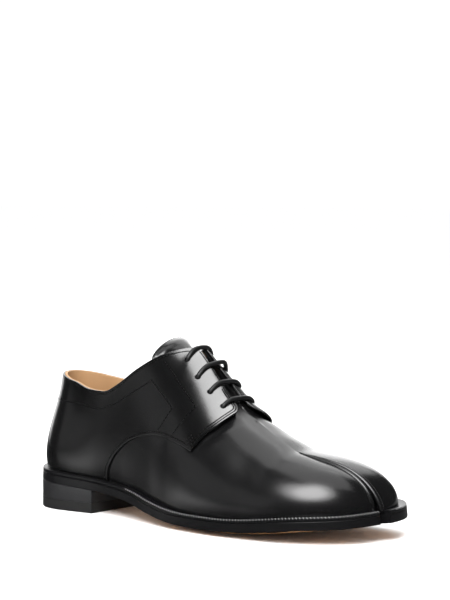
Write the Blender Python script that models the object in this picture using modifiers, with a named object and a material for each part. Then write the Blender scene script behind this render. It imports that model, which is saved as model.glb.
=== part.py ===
"""A split-toe derby shoe for the right foot, built on the form of its last.

Frame of the last: +X runs from heel to toe, +Y to the inner side of the foot,
+Z up, and the floor is z = 0. One parent empty centres the shoe on the origin.
"""

import math

import bmesh
import bpy
import numpy as np
from mathutils import Matrix, Vector

MM = 0.001

# Plan of the sole
SOLE_BACK = -1.5 * MM
SOLE_TIP = {"outer": 285.5 * MM, "inner": 289.0 * MM}
HEEL_ROUND = 34.0 * MM
SPLIT_START = 222.0 * MM
SLOT_START = 250.0 * MM
SLOT_HALF_GAP = 2.8 * MM
INSOLE_SLOT_START = 232.0 * MM
INSOLE_SLOT_HALF_GAP = 9.5 * MM
SPLIT_FLARE = 0.7
INNER_TOE_SLANT = 0.08
SLANT_START = 235.0 * MM
LEAN_START = 140.0 * MM

# Where each side of the toe starts to turn in, and how square it turns
TOE_TURN = {"outer": (211.0 * MM, 2.0), "inner": (236.0 * MM, 3.2)}
SIDE_SIGN = {"outer": -1.0, "inner": 1.0}

# Layers of the bottom, measured up from the underside of the outsole
OUTSOLE_THICK = 5.6 * MM
LAYER_GAP = 0.4 * MM
INSOLE_GAP = 0.6 * MM
WELT_THICK = 2.4 * MM
INSOLE_THICK = 3.6 * MM
LEDGE = 5.0 * MM
WELT_WIDTH = 6.7 * MM
INSOLE_INSET = 8.3 * MM
SOLE_CROWN = 3.8 * MM
CROWN_FLAT = 0.4
CROWN_X = (115.0 * MM, 165.0 * MM)

# Heel
HEEL_BREAST = 63.0 * MM
TOP_LIFT_THICK = 7.0 * MM

# Leather and lace
UPPER_WALL = 1.8 * MM
QUARTER_GAP = 0.4 * MM
QUARTER_WALL = 1.2 * MM
TONGUE_THICK = 1.6 * MM
TONGUE_CORNER = 2.0 * MM
TONGUE_ROUND = 6
LACE_RADIUS = 1.45 * MM
LACE_ARCH = 1.0 * MM
LACE_SHARES = (1.0, 0.85, 0.7, 0.55, 0.4)
EYELET_RADIUS = 2.1 * MM
EYELET_DEPTH = 14.0 * MM

# Upper: collar, throat and toe
COLLAR_BACK = 14.0 * MM
THROAT_END = 176.0 * MM
RISE_TURN = 225.0 * MM
BULGE_RISE = 20.0 * MM

# Cleft of the upper over the split sole: its width, its floor and how it deepens
CLEFT_HALF_GAP = 3.2 * MM
CLEFT_GAP = 1.8 * MM
CLEFT_TAIL = 8.0 * MM
CLEFT_DEEPEN = 1.3
WELT_REACH = (264.0 * MM, 272.0 * MM)

# Quarters: where their flaps stay open, their front end, and how far the seam leans to the inner side
FLAP_X = 169.0 * MM
QUARTER_END = 200.0 * MM
SEAM_LEAN = 18.0 * MM
SEAM_SHIFT = -4.9 * MM

# How finely the pieces are drawn: steps round heel, middle and toe; places across or up a section
SOLE_STEPS = (8, 16, 12)
OUTSOLE_SHARES = (0.0, 0.4, 0.75, 1.0)
INSOLE_STEPS = (6, 14, 9)
INSOLE_SHARES = (0.0, 0.5, 1.0)
HEEL_STEPS = 8
UPPER_STEPS = (6, 20, 9)
RIB_SHARES = (0.0, 0.09, 0.19, 0.30, 0.42, 0.54, 0.66, 0.78, 0.89, 1.0)
CLEFT_SHARES = (0.35, 1.0)
TONGUE_ROWS = 16
TONGUE_COLUMNS = 9
EYELET_SIDES = 10
WELD = 0.02 * MM
SHARP_ANGLE = math.radians(35)
NORMAL_STEP = 0.5 * MM

# Half widths of the sole, before heel and toe are rounded: x, outer, inner (mm)
SOLE_WIDTHS = (
    (-2, 33.5, 33.0),
    (36, 33.5, 33.0),
    (63, 31.5, 30.5),
    (93, 35.0, 27.5),
    (123, 42.0, 28.5),
    (157, 49.5, 36.5),
    (187, 52.0, 44.5),
    (211, 50.8, 48.5),
    (240, 50.5, 50.5),
    (290, 50.5, 50.5),
)

# Middle of the shoe: x, underside of the outsole, sideways lean of the ridge (mm)
MIDDLE_LINE = (
    (-2, 20.0, 0.0),
    (63, 16.0, 0.0),
    (98, 12.6, 0.0),
    (120, 7.8, -1.0),
    (138, 3.4, -1.5),
    (153, 0.8, -1.5),
    (165, 0.0, -1.5),
    (192, 0.0, -2.4),
    (210, 1.0, -3.5),
    (225, 2.8, -4.5),
    (245, 6.0, -2.5),
    (265, 9.0, 0.0),
    (290, 12.2, 2.5),
)

# Sections of the upper. x of the section; how far its top edge lies from the middle,
# outer and inner; height of that edge over the welt, outer and inner; bulge at the foot;
# shares of the height and the width that the section's two handles take (mm)
UPPER_SECTIONS = (
    # x, edge_out, edge_in, rise_out, rise_in, bulge, foot, drop, top_out, top_in
    (3, 16.0, 16.0, 66.7, 66.7, 5.0, 0.29, 0.36, 0.22, 0.22),
    (36, 19.5, 19.0, 63.6, 64.2, 4.8, 0.31, 0.36, 0.22, 0.22),
    (55, 24.0, 23.0, 60.6, 62.5, 4.6, 0.32, 0.35, 0.20, 0.20),
    (70, 26.0, 24.5, 61.2, 63.6, 4.8, 0.34, 0.34, 0.40, 0.40),
    (84, 26.5, 25.0, 68.4, 69.5, 4.6, 0.34, 0.32, 0.60, 0.60),
    (98, 25.5, 23.5, 79.8, 79.0, 4.4, 0.34, 0.27, 0.75, 0.75),
    (117, 18.5, 19.0, 95.0, 94.2, 4.0, 0.36, 0.16, 0.64, 0.68),
    (128, 9.0, 10.0, 100.9, 100.6, 4.0, 0.38, 0.10, 0.61, 0.68),
    (134, 2.8, 2.8, 102.6, 102.6, 4.0, 0.40, 0.07, 0.60, 0.68),
    (143, 3.2, 3.2, 95.8, 95.8, 4.0, 0.41, 0.05, 0.57, 0.70),
    (151, 3.6, 3.6, 88.8, 88.8, 4.0, 0.42, 0.03, 0.56, 0.72),
    (160, 4.2, 4.2, 80.2, 80.2, 4.0, 0.44, 0.02, 0.55, 0.74),
    (169, 5.0, 5.0, 71.8, 71.8, 4.0, 0.46, 0.01, 0.55, 0.74),
    (176, 0.0, 0.0, 66.6, 66.6, 4.0, 0.47, 0.0, 0.55, 0.74),
    (186, 0.0, 0.0, 60.8, 60.8, 3.8, 0.48, 0.0, 0.56, 0.72),
    (200, 0.0, 0.0, 53.0, 53.0, 3.5, 0.50, 0.0, 0.58, 0.72),
    (212, 0.0, 0.0, 46.0, 46.0, 3.2, 0.52, -0.03, 0.58, 0.74),
    (225, 0.0, 0.0, 39.0, 39.0, 3.0, 0.54, -0.06, 0.58, 0.76),
    (250, 0.0, 0.0, 34.0, 34.2, 2.5, 0.56, -0.09, 0.56, 0.76),
    (281, 0.0, 0.0, 34.0, 32.0, 1.5, 0.58, -0.10, 0.52, 0.72),
)

# Seam of the quarters over the vamp, seen from the side: x, z (mm)
QUARTER_SEAM = (
    (75.0, 14.0),
    (75.0, 27.6),
    (78.4, 35.5),
    (84.3, 42.8),
    (94.6, 50.9),
    (105.8, 55.9),
    (120.0, 59.3),
    (133.0, 59.0),
    (141.7, 57.2),
    (152.7, 54.6),
    (161.2, 51.4),
    (162.2, 53.6),
    (167.7, 63.1),
    (172.0, 67.9),
    (174.7, 74.0),
    (173.0, 78.8),
    (168.6, 83.2),
    (160.0, 95.0),
)

# Tongue: its ridge, half widths and lean to the inner side (mm); how its sides bow (per mm) and curl (per mm2)
TONGUE_LINE = (
    # x, z, half_out, half_in, lean, bow_out, bow_in, curl
    (107.0, 121.7, 20.8, 19.5, 9.0, 0.0148, 0.037, 0.0),
    (110.0, 121.7, 20.4, 19.5, 8.5, 0.0158, 0.037, 0.0),
    (114.0, 121.2, 18.6, 18.4, 6.0, 0.0220, 0.037, 0.0),
    (119.0, 119.6, 16.8, 16.8, 3.5, 0.0310, 0.040, 0.0004),
    (124.0, 117.0, 15.5, 15.5, 1.5, 0.0300, 0.034, 0.0018),
    (131.0, 112.8, 14.2, 14.2, 0.0, 0.0, 0.0, 0.0043),
    (137.0, 108.6, 14.0, 14.0, 0.0, 0.0, 0.0, 0.0043),
    (144.0, 103.4, 14.0, 14.0, 0.0, 0.0, 0.0, 0.0043),
    (151.0, 97.0, 14.5, 14.5, 0.0, 0.0, 0.0, 0.0043),
    (158.0, 89.6, 14.5, 14.5, 0.0, 0.0, 0.0, 0.0042),
    (165.0, 82.2, 14.5, 14.5, 0.0, 0.0, 0.0, 0.0040),
    (172.0, 76.0, 14.5, 14.5, 0.0, 0.0, 0.0, 0.0036),
    (182.0, 69.8, 13.5, 13.5, 0.0, 0.0, 0.0, 0.0030),
)

# Lace holes: x of the pair, distances from the middle, outer and inner (mm)
EYELETS = (
    (169.0, 15.6, 14.5),
    (157.5, 16.0, 13.5),
    (146.0, 15.7, 12.0),
    (134.5, 13.0, 10.0),
)


def table_curve(rows, column, x):
    """A smooth curve through one column of a table in mm, flat where the table is flat."""
    table = np.array(rows, float)
    at, value = table[:, 0] * MM, table[:, column]
    step, rise = np.diff(at), np.diff(value)
    slope = rise / step
    tangent = np.zeros(len(at))
    tangent[0], tangent[-1] = slope[0], slope[-1]
    same_way = slope[:-1] * slope[1:] > 0
    near, far = 2 * step[1:] + step[:-1], step[1:] + 2 * step[:-1]
    with np.errstate(divide="ignore", invalid="ignore"):
        mean = (near + far) / (near / slope[:-1] + far / slope[1:])
    tangent[1:-1] = np.where(same_way, mean, 0.0)
    x = float(np.clip(x, at[0], at[-1]))
    i = int(np.clip(np.searchsorted(at, x) - 1, 0, len(step) - 1))
    t = (x - at[i]) / step[i]
    blend = t * t * (3 - 2 * t)
    return (
        value[i]
        + rise[i] * blend
        + step[i] * (tangent[i] * t * (1 - t) ** 2 - tangent[i + 1] * t * t * (1 - t))
    )


def ramp(x, start, end):
    """0 before start, 1 after end, and smooth between."""
    t = min(1.0, max(0.0, (x - start) / (end - start)))
    return t * t * (3 - 2 * t)


def along(station, inset, side="outer"):
    """x of a station on one side. Heel and toe stations are angles from the start of the curve."""
    kind, value = station
    if kind == "heel":
        radius = HEEL_ROUND - inset
        return SOLE_BACK + inset + radius * (1 - math.cos(math.radians(value)))
    if kind == "toe":
        start = TOE_TURN["outer"][0]
        return start + (SOLE_TIP[side] - inset - start) * math.sin(math.radians(value))
    return value


def stations(heel_steps, middle_steps, toe_steps):
    """Section stations from the back of the heel to the tip of the toe."""
    heel = [("heel", 90.0 * i / heel_steps) for i in range(heel_steps)]
    first, last = SOLE_BACK + HEEL_ROUND, TOE_TURN["outer"][0]
    middle = [("x", first + (last - first) * i / middle_steps) for i in range(middle_steps)]
    toe = [("toe", 90.0 * i / toe_steps) for i in range(toe_steps + 1)]
    return heel + middle + toe


def middle_y(x):
    return table_curve(MIDDLE_LINE, 2, x) * MM


def sole_width(side, x):
    """Half width of the sole before heel and toe are rounded."""
    return table_curve(SOLE_WIDTHS, 1 if side == "outer" else 2, x) * MM


def outline_y(side, x, inset):
    """Edge of the sole, or of a layer drawn in by inset, on one side."""
    sign = SIDE_SIGN[side]
    width = sole_width(side, x) - inset
    radius = HEEL_ROUND - inset
    heel = min(1.0, max(0.0, (SOLE_BACK + inset + radius - x) / radius))
    width *= math.sqrt(1 - heel * heel)
    start, power = TOE_TURN[side]
    toe = min(1.0, max(0.0, (x - start) / (SOLE_TIP[side] - inset - start)))
    turn = (1 - toe**power) ** (1 / power)
    return middle_y(x) * (1 - turn) + sign * turn * width


def split_gap(side, x, inset, start, half_gap):
    """Half width of the split, from nothing at its start to half_gap at the tip."""
    return half_gap * max(0.0, min(1.0, (x - start) / (SOLE_TIP[side] - inset - start))) ** SPLIT_FLARE


def sole_z(x, share):
    """Underside of the outsole. share runs from 0 in the middle to 1 at the edge."""
    crown = SOLE_CROWN * ramp(x, *CROWN_X)
    rounded = max(0.0, (share - CROWN_FLAT) / (1 - CROWN_FLAT))
    return table_curve(MIDDLE_LINE, 1, x) * MM + crown * rounded**2


def sole_slope(x):
    step = 1.0 * MM
    return (sole_z(x + step, 0) - sole_z(x - step, 0)) / (2 * step)


def bottom_point(side, station, inset, share, lift, slot=(SLOT_START, SLOT_HALF_GAP)):
    """A point of a bottom layer: share 1 on its edge, 0 at the middle or the split."""
    x = along(station, inset, side)
    edge = outline_y(side, x, inset)
    sign = SIDE_SIGN[side]
    middle = middle_y(x) * ramp(x, LEAN_START, SPLIT_START) + sign * split_gap(side, x, inset, *slot)
    if sign * (edge - middle) < 0:
        edge = middle
    y = middle + (edge - middle) * share
    z = sole_z(x, abs(y) / sole_width(side, x))
    slope = sole_slope(x)
    if side == "inner":
        x -= INNER_TOE_SLANT * max(0.0, y - middle) * ramp(x, SLANT_START, SOLE_TIP[side])
    return (x - lift * slope, y, z + lift)


def mesh_object(name, bm, material, collection):
    """A named object from a bmesh, shaded smooth but for its sharp edges."""
    mesh = bpy.data.meshes.new(name)
    bm.to_mesh(mesh)
    bm.free()
    mesh.materials.append(material)
    mesh.shade_smooth()
    mesh.set_sharp_from_angle(angle=SHARP_ANGLE)
    obj = bpy.data.objects.new(name, mesh)
    collection.objects.link(obj)
    return obj


def mapped_grid(rows, columns, place, keep):
    """A grid whose point (row, column) moves to place(row, column), without the faces
    that keep(row, column) refuses. Points that fall together are welded."""
    bm = bmesh.new()
    bmesh.ops.create_grid(bm, x_segments=columns - 1, y_segments=rows - 1, size=0.5)
    bm.verts.ensure_lookup_table()
    cell = {}
    for v in bm.verts:
        cell[v] = (round((v.co.y + 0.5) * (rows - 1)), round((v.co.x + 0.5) * (columns - 1)))
    drop = []
    for face in bm.faces:
        row = min(cell[v][0] for v in face.verts)
        column = min(cell[v][1] for v in face.verts)
        if not keep(row, column):
            drop.append(face)
    for v in bm.verts:
        v.co = place(*cell[v])
    bmesh.ops.delete(bm, geom=drop, context="FACES")
    bmesh.ops.remove_doubles(bm, verts=bm.verts, dist=WELD)
    bmesh.ops.dissolve_degenerate(bm, edges=bm.edges, dist=WELD)
    return bm


def thicken_up(bm, move):
    """Extrudes an open sheet into a closed plate. move(co) gives the top point of co."""
    sheet = list(bm.faces)
    made = bmesh.ops.extrude_face_region(bm, geom=sheet)["geom"]
    for v in made:
        if isinstance(v, bmesh.types.BMVert):
            v.co = move(v.co)
    bmesh.ops.recalc_face_normals(bm, faces=bm.faces)
    return bm


def bottom_plate(inset, low, high, slot, shares, marks):
    """A layer of the bottom with the split at its toe: both halves share the middle row."""
    half = len(shares)
    slot_row = next(i for i, m in enumerate(marks) if along(m, inset) > slot[0])

    def place(row, column):
        if column < half:
            return bottom_point("outer", marks[row], inset, shares[half - 1 - column], low, slot)
        return bottom_point("inner", marks[row], inset, shares[column - half], low, slot)

    def keep(row, column):
        return column != half - 1 or row < slot_row

    bm = mapped_grid(len(marks), 2 * half, place, keep)
    rise = high - low
    return thicken_up(bm, lambda co: (co.x - rise * sole_slope(co.x), co.y, co.z + rise))


def outsole(material, collection):
    """Leather outsole: arch, toe spring, crowned tread and the split at the toe."""
    bm = bottom_plate(
        0.0,
        0.0,
        OUTSOLE_THICK,
        (SLOT_START, SLOT_HALF_GAP),
        OUTSOLE_SHARES,
        stations(*SOLE_STEPS),
    )
    return mesh_object("outsole", bm, material, collection)


def insole(material, collection):
    """Sock and insole board, which lie inside the welt on the outsole."""
    low = OUTSOLE_THICK + INSOLE_GAP
    bm = bottom_plate(
        INSOLE_INSET,
        low,
        low + INSOLE_THICK,
        (INSOLE_SLOT_START, INSOLE_SLOT_HALF_GAP),
        INSOLE_SHARES,
        stations(*INSOLE_STEPS),
    )
    return mesh_object("insole", bm, material, collection)


def welt(material, collection):
    """Welt strip round the sole's edge, from one tip of the split round the heel to the other."""
    low = OUTSOLE_THICK + LAYER_GAP
    marks = stations(*SOLE_STEPS)
    insets = (0.0, WELT_WIDTH)

    def place(row, column):
        side, depth = (("outer", column), ("inner", 3 - column))[column > 1]
        return bottom_point(side, marks[row], insets[depth], 1.0, low)

    bm = mapped_grid(len(marks), 4, place, lambda row, column: column != 1)
    thicken_up(bm, lambda co: (co.x - WELT_THICK * sole_slope(co.x), co.y, co.z + WELT_THICK))
    return mesh_object("welt", bm, material, collection)


def heel_block(name, low, high, material, collection):
    """A slab of the heel on the sole's own outline, cut straight at the breast."""
    first = SOLE_BACK + HEEL_ROUND
    marks = [("heel", 90.0 * i / HEEL_STEPS) for i in range(HEEL_STEPS)]
    marks += [("x", first), ("x", HEEL_BREAST)]

    def place(row, column):
        x = along(marks[row], 0.0)
        return (x, outline_y(("outer", "inner")[column], x, 0.0), low(x))

    bm = mapped_grid(len(marks), 2, place, lambda row, column: True)
    thicken_up(bm, lambda co: (co.x, co.y, high(co.x)))
    return mesh_object(name, bm, material, collection)


def heel(stack_material, lift_material, collection):
    """Stacked heel under the seat of the outsole, with a rubber top lift."""
    heel_block("heel_top_lift", lambda x: 0.0, lambda x: TOP_LIFT_THICK, lift_material, collection)
    heel_block(
        "heel_stack",
        lambda x: TOP_LIFT_THICK + LAYER_GAP,
        lambda x: sole_z(x, 0) - LAYER_GAP,
        stack_material,
        collection,
    )


def rib_ends(side, station, flap=False):
    """x, foot, top edge and outward direction of the upper's section at a station.
    A flap stays open at the middle in front of the throat."""
    sign = SIDE_SIGN[side]
    foot = np.array(bottom_point(side, station, LEDGE, 1.0, feather_lift()))
    x = along(station, LEDGE, side)
    column = 1 if side == "outer" else 2
    reach = table_curve(UPPER_SECTIONS, column, x) * MM
    if flap and x > FLAP_X:
        reach = table_curve(UPPER_SECTIONS, column, FLAP_X) * MM
    rise = table_curve(UPPER_SECTIONS, column + 2, x) * MM
    if x > RISE_TURN:
        toe = min(1.0, (x - RISE_TURN) / (SOLE_TIP[side] - LEDGE - RISE_TURN))
        rise *= math.sqrt(1 - toe * toe)
    top_x, out = foot[0], np.array((0.0, sign, 0.0))
    if station[0] == "heel":
        angle = math.radians(station[1])
        side_x = SOLE_BACK + HEEL_ROUND
        top_x = side_x - (side_x - COLLAR_BACK) * math.cos(angle)
        reach *= math.sin(angle)
        out = np.array((-math.cos(angle), sign * math.sin(angle), 0.0))
    gap = split_gap(side, x, LEDGE, SPLIT_START, CLEFT_HALF_GAP)
    top = np.array((top_x, middle_y(x) + sign * (reach + gap), foot[2] + rise))
    if sign * (foot[1] - top[1]) < 0 and x > RISE_TURN:
        foot[1] = top[1]
    return x, foot, top, out


def feather_lift():
    """Height of the upper's lower edge over the underside of the outsole."""
    return OUTSOLE_THICK + LAYER_GAP + WELT_THICK + LAYER_GAP


def rib_point(side, station, share, flap=False):
    """A point of the upper's outer face: share 0 at the welt, 1 at the top edge or ridge."""
    x, foot, top, out = rib_ends(side, station, flap)
    last = 8 if side == "outer" else 9
    bulge, foot_share, drop, top_share = (table_curve(UPPER_SECTIONS, c, x) for c in (5, 6, 7, last))
    rise = top[2] - foot[2]
    width = max(0.0, float(np.dot(foot - top, out)))
    up = np.array((0.0, 0.0, 1.0))
    fade = min(1.0, rise / BULGE_RISE)
    first = foot + out * bulge * MM * fade + up * foot_share * rise
    second = top + out * top_share * width - up * drop * rise
    t = share
    return (
        foot * (1 - t) ** 3
        + first * 3 * t * (1 - t) ** 2
        + second * 3 * t * t * (1 - t)
        + top * t**3
    )


def cleft_point(side, station, share):
    """A point of the split's wall, from the lip down to the outsole."""
    x, foot, top, out = rib_ends(side, station)
    if x < SPLIT_START:
        return top
    lift = OUTSOLE_THICK + CLEFT_GAP
    lift += (feather_lift() - lift) * ramp(x, *WELT_REACH)
    floor = bottom_point(side, station, LEDGE, 0.0, lift)[2]
    depth = min(1.0, (x - SPLIT_START) / (SLOT_START + CLEFT_TAIL - SPLIT_START)) ** CLEFT_DEEPEN
    return np.array((top[0], top[1], top[2] - share * depth * (top[2] - floor)))


def upper_sheet(marks, cleft_shares, flap=False):
    """The upper's outer face as an open sheet: closed round the heel, open at the collar,
    the throat, along the sole and at the foot of the split."""
    ribs = len(RIB_SHARES)
    half = ribs + len(cleft_shares)

    def place(row, column):
        side = "outer" if column < half else "inner"
        step = column if column < half else 2 * half - 1 - column
        if step < ribs:
            return rib_point(side, marks[row], RIB_SHARES[step], flap)
        return cleft_point(side, marks[row], cleft_shares[step - ribs])

    def keep(row, column):
        x = along(marks[row], LEDGE)
        return column != half - 1 or (not flap and THROAT_END <= x < SLOT_START + CLEFT_TAIL)

    bm = mapped_grid(len(marks), 2 * half, place, keep)
    bmesh.ops.recalc_face_normals(bm, faces=bm.faces)
    return bm


def solidify(obj, thickness, offset):
    wall = obj.modifiers.new("wall", "SOLIDIFY")
    wall.thickness = thickness
    wall.offset = offset
    wall.use_even_offset = True


def cut(obj, cutter):
    modifier = obj.modifiers.new(cutter.name, "BOOLEAN")
    modifier.operation = "DIFFERENCE"
    modifier.solver = "EXACT"
    modifier.object = cutter


def upper(material, collection, holes):
    """Vamp and lined quarters as one hollow wall."""
    bm = upper_sheet(stations(*UPPER_STEPS), CLEFT_SHARES)
    obj = mesh_object("upper", bm, material, collection)
    solidify(obj, UPPER_WALL, -1.0)
    cut(obj, holes)


def quarters(material, collection, holes, cutters):
    """Outer leather of the quarters: one piece round the heel that overlaps the vamp."""
    marks = [m for m in stations(*UPPER_STEPS) if along(m, LEDGE) < QUARTER_END]
    bm = upper_sheet(marks, (), flap=True)
    for v in bm.verts:
        v.co += v.normal * QUARTER_GAP
    obj = mesh_object("quarters", bm, material, collection)
    solidify(obj, QUARTER_WALL, 1.0)
    cut(obj, seam_cutter(cutters))
    cut(obj, holes)


def seam_cutter(collection):
    """Block over the vamp, whose back face follows the quarters' seam."""
    far_x, high_z, low_z, half_y = 300 * MM, 150 * MM, -20 * MM, 90 * MM
    corners = [(x * MM + SEAM_SHIFT, z * MM) for x, z in QUARTER_SEAM]
    corners += [(corners[-1][0], high_z), (far_x, high_z), (far_x, low_z), (corners[0][0], low_z)]
    bm = bmesh.new()
    face = bm.faces.new([bm.verts.new((x, -half_y, z)) for x, z in corners])
    made = bmesh.ops.extrude_face_region(bm, geom=[face])["geom"]
    far_side = [v for v in made if isinstance(v, bmesh.types.BMVert)]
    bmesh.ops.translate(bm, verts=far_side, vec=(SEAM_LEAN, 2 * half_y, 0.0))
    bmesh.ops.recalc_face_normals(bm, faces=bm.faces)
    return cutter_object("quarter_seam", bm, collection)


def instep_point(side, x, reach, flap=True):
    """Point of the upper's outer face at a distance from the middle, with its normal."""
    low, high = 0.2, 1.0
    for _ in range(40):
        share = (low + high) / 2
        y = rib_point(side, ("x", x), share, flap)[1] - middle_y(x)
        low, high = (share, high) if abs(y) > reach else (low, share)
    point = rib_point(side, ("x", x), share, flap)
    ahead = rib_point(side, ("x", x + NORMAL_STEP), share, flap) - point
    below = rib_point(side, ("x", x), share - 0.01, flap) - point
    normal = np.cross(ahead, below)
    normal *= math.copysign(1.0, normal[2]) / np.linalg.norm(normal)
    return Vector(point), Vector(normal)


def eyelet_cutter(collection):
    """Eight short rods that punch the lace holes through quarters and lining."""
    bm = bmesh.new()
    for x, *reaches in EYELETS:
        for side, reach in zip(SIDE_SIGN, reaches):
            point, normal = instep_point(side, x * MM, reach * MM)
            turn = normal.to_track_quat("Z", "Y").to_matrix().to_4x4()
            bmesh.ops.create_cone(
                bm,
                cap_ends=True,
                segments=EYELET_SIDES,
                radius1=EYELET_RADIUS,
                radius2=EYELET_RADIUS,
                depth=EYELET_DEPTH,
                matrix=Matrix.Translation(point) @ turn,
            )
    return cutter_object("lace_holes", bm, collection)


def cutter_object(name, bm, collection):
    mesh = bpy.data.meshes.new(name)
    bm.to_mesh(mesh)
    bm.free()
    obj = bpy.data.objects.new(name, mesh)
    obj.hide_render = True
    obj.display_type = "WIRE"
    collection.objects.link(obj)
    return obj


def tongue(material, collection):
    """Tongue: a curled sheet from under the throat to above the facings."""
    first, last = TONGUE_LINE[0][0] * MM, TONGUE_LINE[-1][0] * MM

    def place(row, column):
        share = 2 * column / (TONGUE_COLUMNS - 1) - 1
        start = first + TONGUE_CORNER * abs(share) ** TONGUE_ROUND
        x = start + (last - start) * row / (TONGUE_ROWS - 1)
        row_at_x = [table_curve(TONGUE_LINE, column, x) for column in range(1, len(TONGUE_LINE[0]))]
        z, half_out, half_in, lean, bow_out, bow_in, curl = row_at_x
        y = share * (half_out if share < 0 else half_in)
        bow = bow_out if y < lean else bow_in
        ahead, behind = (table_curve(TONGUE_LINE, 1, x + step) for step in (NORMAL_STEP, -NORMAL_STEP))
        normal = Vector(((behind - ahead) * MM, 0.0, 2 * NORMAL_STEP)).normalized()
        middle = Vector((x, middle_y(x) + y * MM, z * MM))
        return middle - normal * (bow * (y - lean) ** 2 + curl * abs(y) ** 3) * MM

    bm = mapped_grid(TONGUE_ROWS, TONGUE_COLUMNS, place, lambda row, column: True)
    bmesh.ops.recalc_face_normals(bm, faces=bm.faces)
    obj = mesh_object("tongue", bm, material, collection)
    solidify(obj, TONGUE_THICK, -1.0)


def lace_bars(material, collection):
    """Four straight lace bars over the throat, each from hole to hole."""
    over = QUARTER_GAP + QUARTER_WALL + LAYER_GAP + LACE_RADIUS
    for number, (x, outer, inner) in enumerate(EYELETS, 1):
        path = []
        for side, reach, shares in (("outer", outer, LACE_SHARES), ("inner", inner, LACE_SHARES[::-1])):
            for share in shares:
                point, normal = instep_point(side, x * MM, reach * MM * share)
                path.append(point + normal * (over + LACE_ARCH * (1 - share)))
        curve = bpy.data.curves.new(f"lace_bar_{number}", "CURVE")
        curve.dimensions = "3D"
        curve.bevel_depth = LACE_RADIUS
        curve.bevel_resolution = 1
        curve.use_fill_caps = True
        spline = curve.splines.new("POLY")
        spline.points.add(len(path) - 1)
        for spot, co in zip(spline.points, path):
            spot.co = (*co, 1.0)
        curve.materials.append(material)
        collection.objects.link(bpy.data.objects.new(curve.name, curve))


def centre(collections):
    """Hangs every object on one empty, so that the shoe's box stands centred on the origin."""
    bpy.context.view_layer.update()
    graph = bpy.context.evaluated_depsgraph_get()
    points = []
    for obj in collections[0].objects:
        solid = obj.evaluated_get(graph)
        points += [v.co.copy() for v in solid.to_mesh().vertices]
        solid.to_mesh_clear()
    frame = bpy.data.objects.new("shoe_frame", None)
    collections[0].objects.link(frame)
    frame.location.x = -(min(p.x for p in points) + max(p.x for p in points)) / 2
    frame.location.y = -(min(p.y for p in points) + max(p.y for p in points)) / 2
    for collection in collections:
        for obj in collection.objects:
            if obj is not frame:
                obj.parent = frame


def principled(name, color, roughness, metallic=0.0):
    material = bpy.data.materials.new(name)
    material.use_nodes = True
    shader = material.node_tree.nodes["Principled BSDF"]
    shader.inputs["Base Color"].default_value = (*color, 1.0)
    shader.inputs["Roughness"].default_value = roughness
    shader.inputs["Metallic"].default_value = metallic
    return material


def main():
    for obj in list(bpy.data.objects):
        bpy.data.objects.remove(obj)
    shoe = bpy.data.collections.new("split_toe_derby")
    bpy.context.scene.collection.children.link(shoe)

    calf = principled("black_calf", (0.012, 0.012, 0.013), 0.28)
    sole_leather = principled("sole_leather", (0.42, 0.24, 0.12), 0.55)
    edge_leather = principled("edge_leather", (0.015, 0.015, 0.016), 0.4)
    heel_leather = principled("heel_leather", (0.016, 0.016, 0.017), 0.4)
    rubber = principled("lift_rubber", (0.02, 0.02, 0.02), 0.6)
    lining = principled("lining_leather", (0.62, 0.42, 0.24), 0.6)
    waxed_cord = principled("waxed_cord", (0.010, 0.010, 0.011), 0.45)

    cutters = bpy.data.collections.new("cutters")
    bpy.context.scene.collection.children.link(cutters)
    holes = eyelet_cutter(cutters)
    outsole(sole_leather, shoe)
    welt(edge_leather, shoe)
    heel(heel_leather, rubber, shoe)
    insole(lining, shoe)
    upper(calf, shoe, holes)
    quarters(calf, shoe, holes, cutters)
    tongue(calf, shoe)
    lace_bars(waxed_cord, shoe)
    centre((shoe, cutters))


main()
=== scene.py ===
import functools
import math

import bmesh
import bpy
import numpy as np
from mathutils import Matrix, Vector


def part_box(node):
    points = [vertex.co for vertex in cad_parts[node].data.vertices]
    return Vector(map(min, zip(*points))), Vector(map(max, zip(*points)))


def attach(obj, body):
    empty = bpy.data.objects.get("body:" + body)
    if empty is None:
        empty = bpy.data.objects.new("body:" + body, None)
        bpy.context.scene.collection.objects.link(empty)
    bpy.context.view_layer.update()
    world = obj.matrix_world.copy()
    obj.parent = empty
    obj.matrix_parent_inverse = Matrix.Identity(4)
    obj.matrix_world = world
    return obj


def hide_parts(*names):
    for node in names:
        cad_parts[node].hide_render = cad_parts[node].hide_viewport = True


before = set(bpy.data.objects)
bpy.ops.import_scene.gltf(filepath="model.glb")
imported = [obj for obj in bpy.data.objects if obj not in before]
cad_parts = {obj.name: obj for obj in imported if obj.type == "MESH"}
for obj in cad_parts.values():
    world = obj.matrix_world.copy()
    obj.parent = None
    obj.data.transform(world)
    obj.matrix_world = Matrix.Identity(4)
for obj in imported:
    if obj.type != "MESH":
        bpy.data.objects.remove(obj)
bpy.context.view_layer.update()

# Insole
# A leather board under the foot with a tan sock glued over it. It is the first piece on the
# last, so the last's plan and bottom line stand here; sizes are in mm, +X to toe, +Y inside.
MM = 0.001
SOLE_BACK = -1.5
SOLE_TIP = {"outer": 285.5, "inner": 289.0}
HEEL_ROUND = 34.0
SPLIT_START = 222.0
SPLIT_FLARE = 0.7
LEAN_START = 140.0
INNER_TOE_SLANT = 0.08
SLANT_START = 235.0
TOE_TURN = {"outer": (211.0, 2.0), "inner": (236.0, 3.2)}
SIGN = {"outer": -1.0, "inner": 1.0}
COLUMN = {"outer": 1, "inner": 2}
SOLE_CROWN = 3.8
CROWN_FLAT = 0.4
CROWN_X = (115.0, 165.0)
OUTSOLE_THICK = 5.6
WELT_TOP = 8.4
INSOLE_INSET = 7.4
INSOLE_LOW = 6.0
INSOLE_HIGH = 9.8
INSOLE_SLOT = (232.0, 9.5)
HEEL_HALF_WIDTH = 33.5
INSOLE_RIBS = 10
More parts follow.
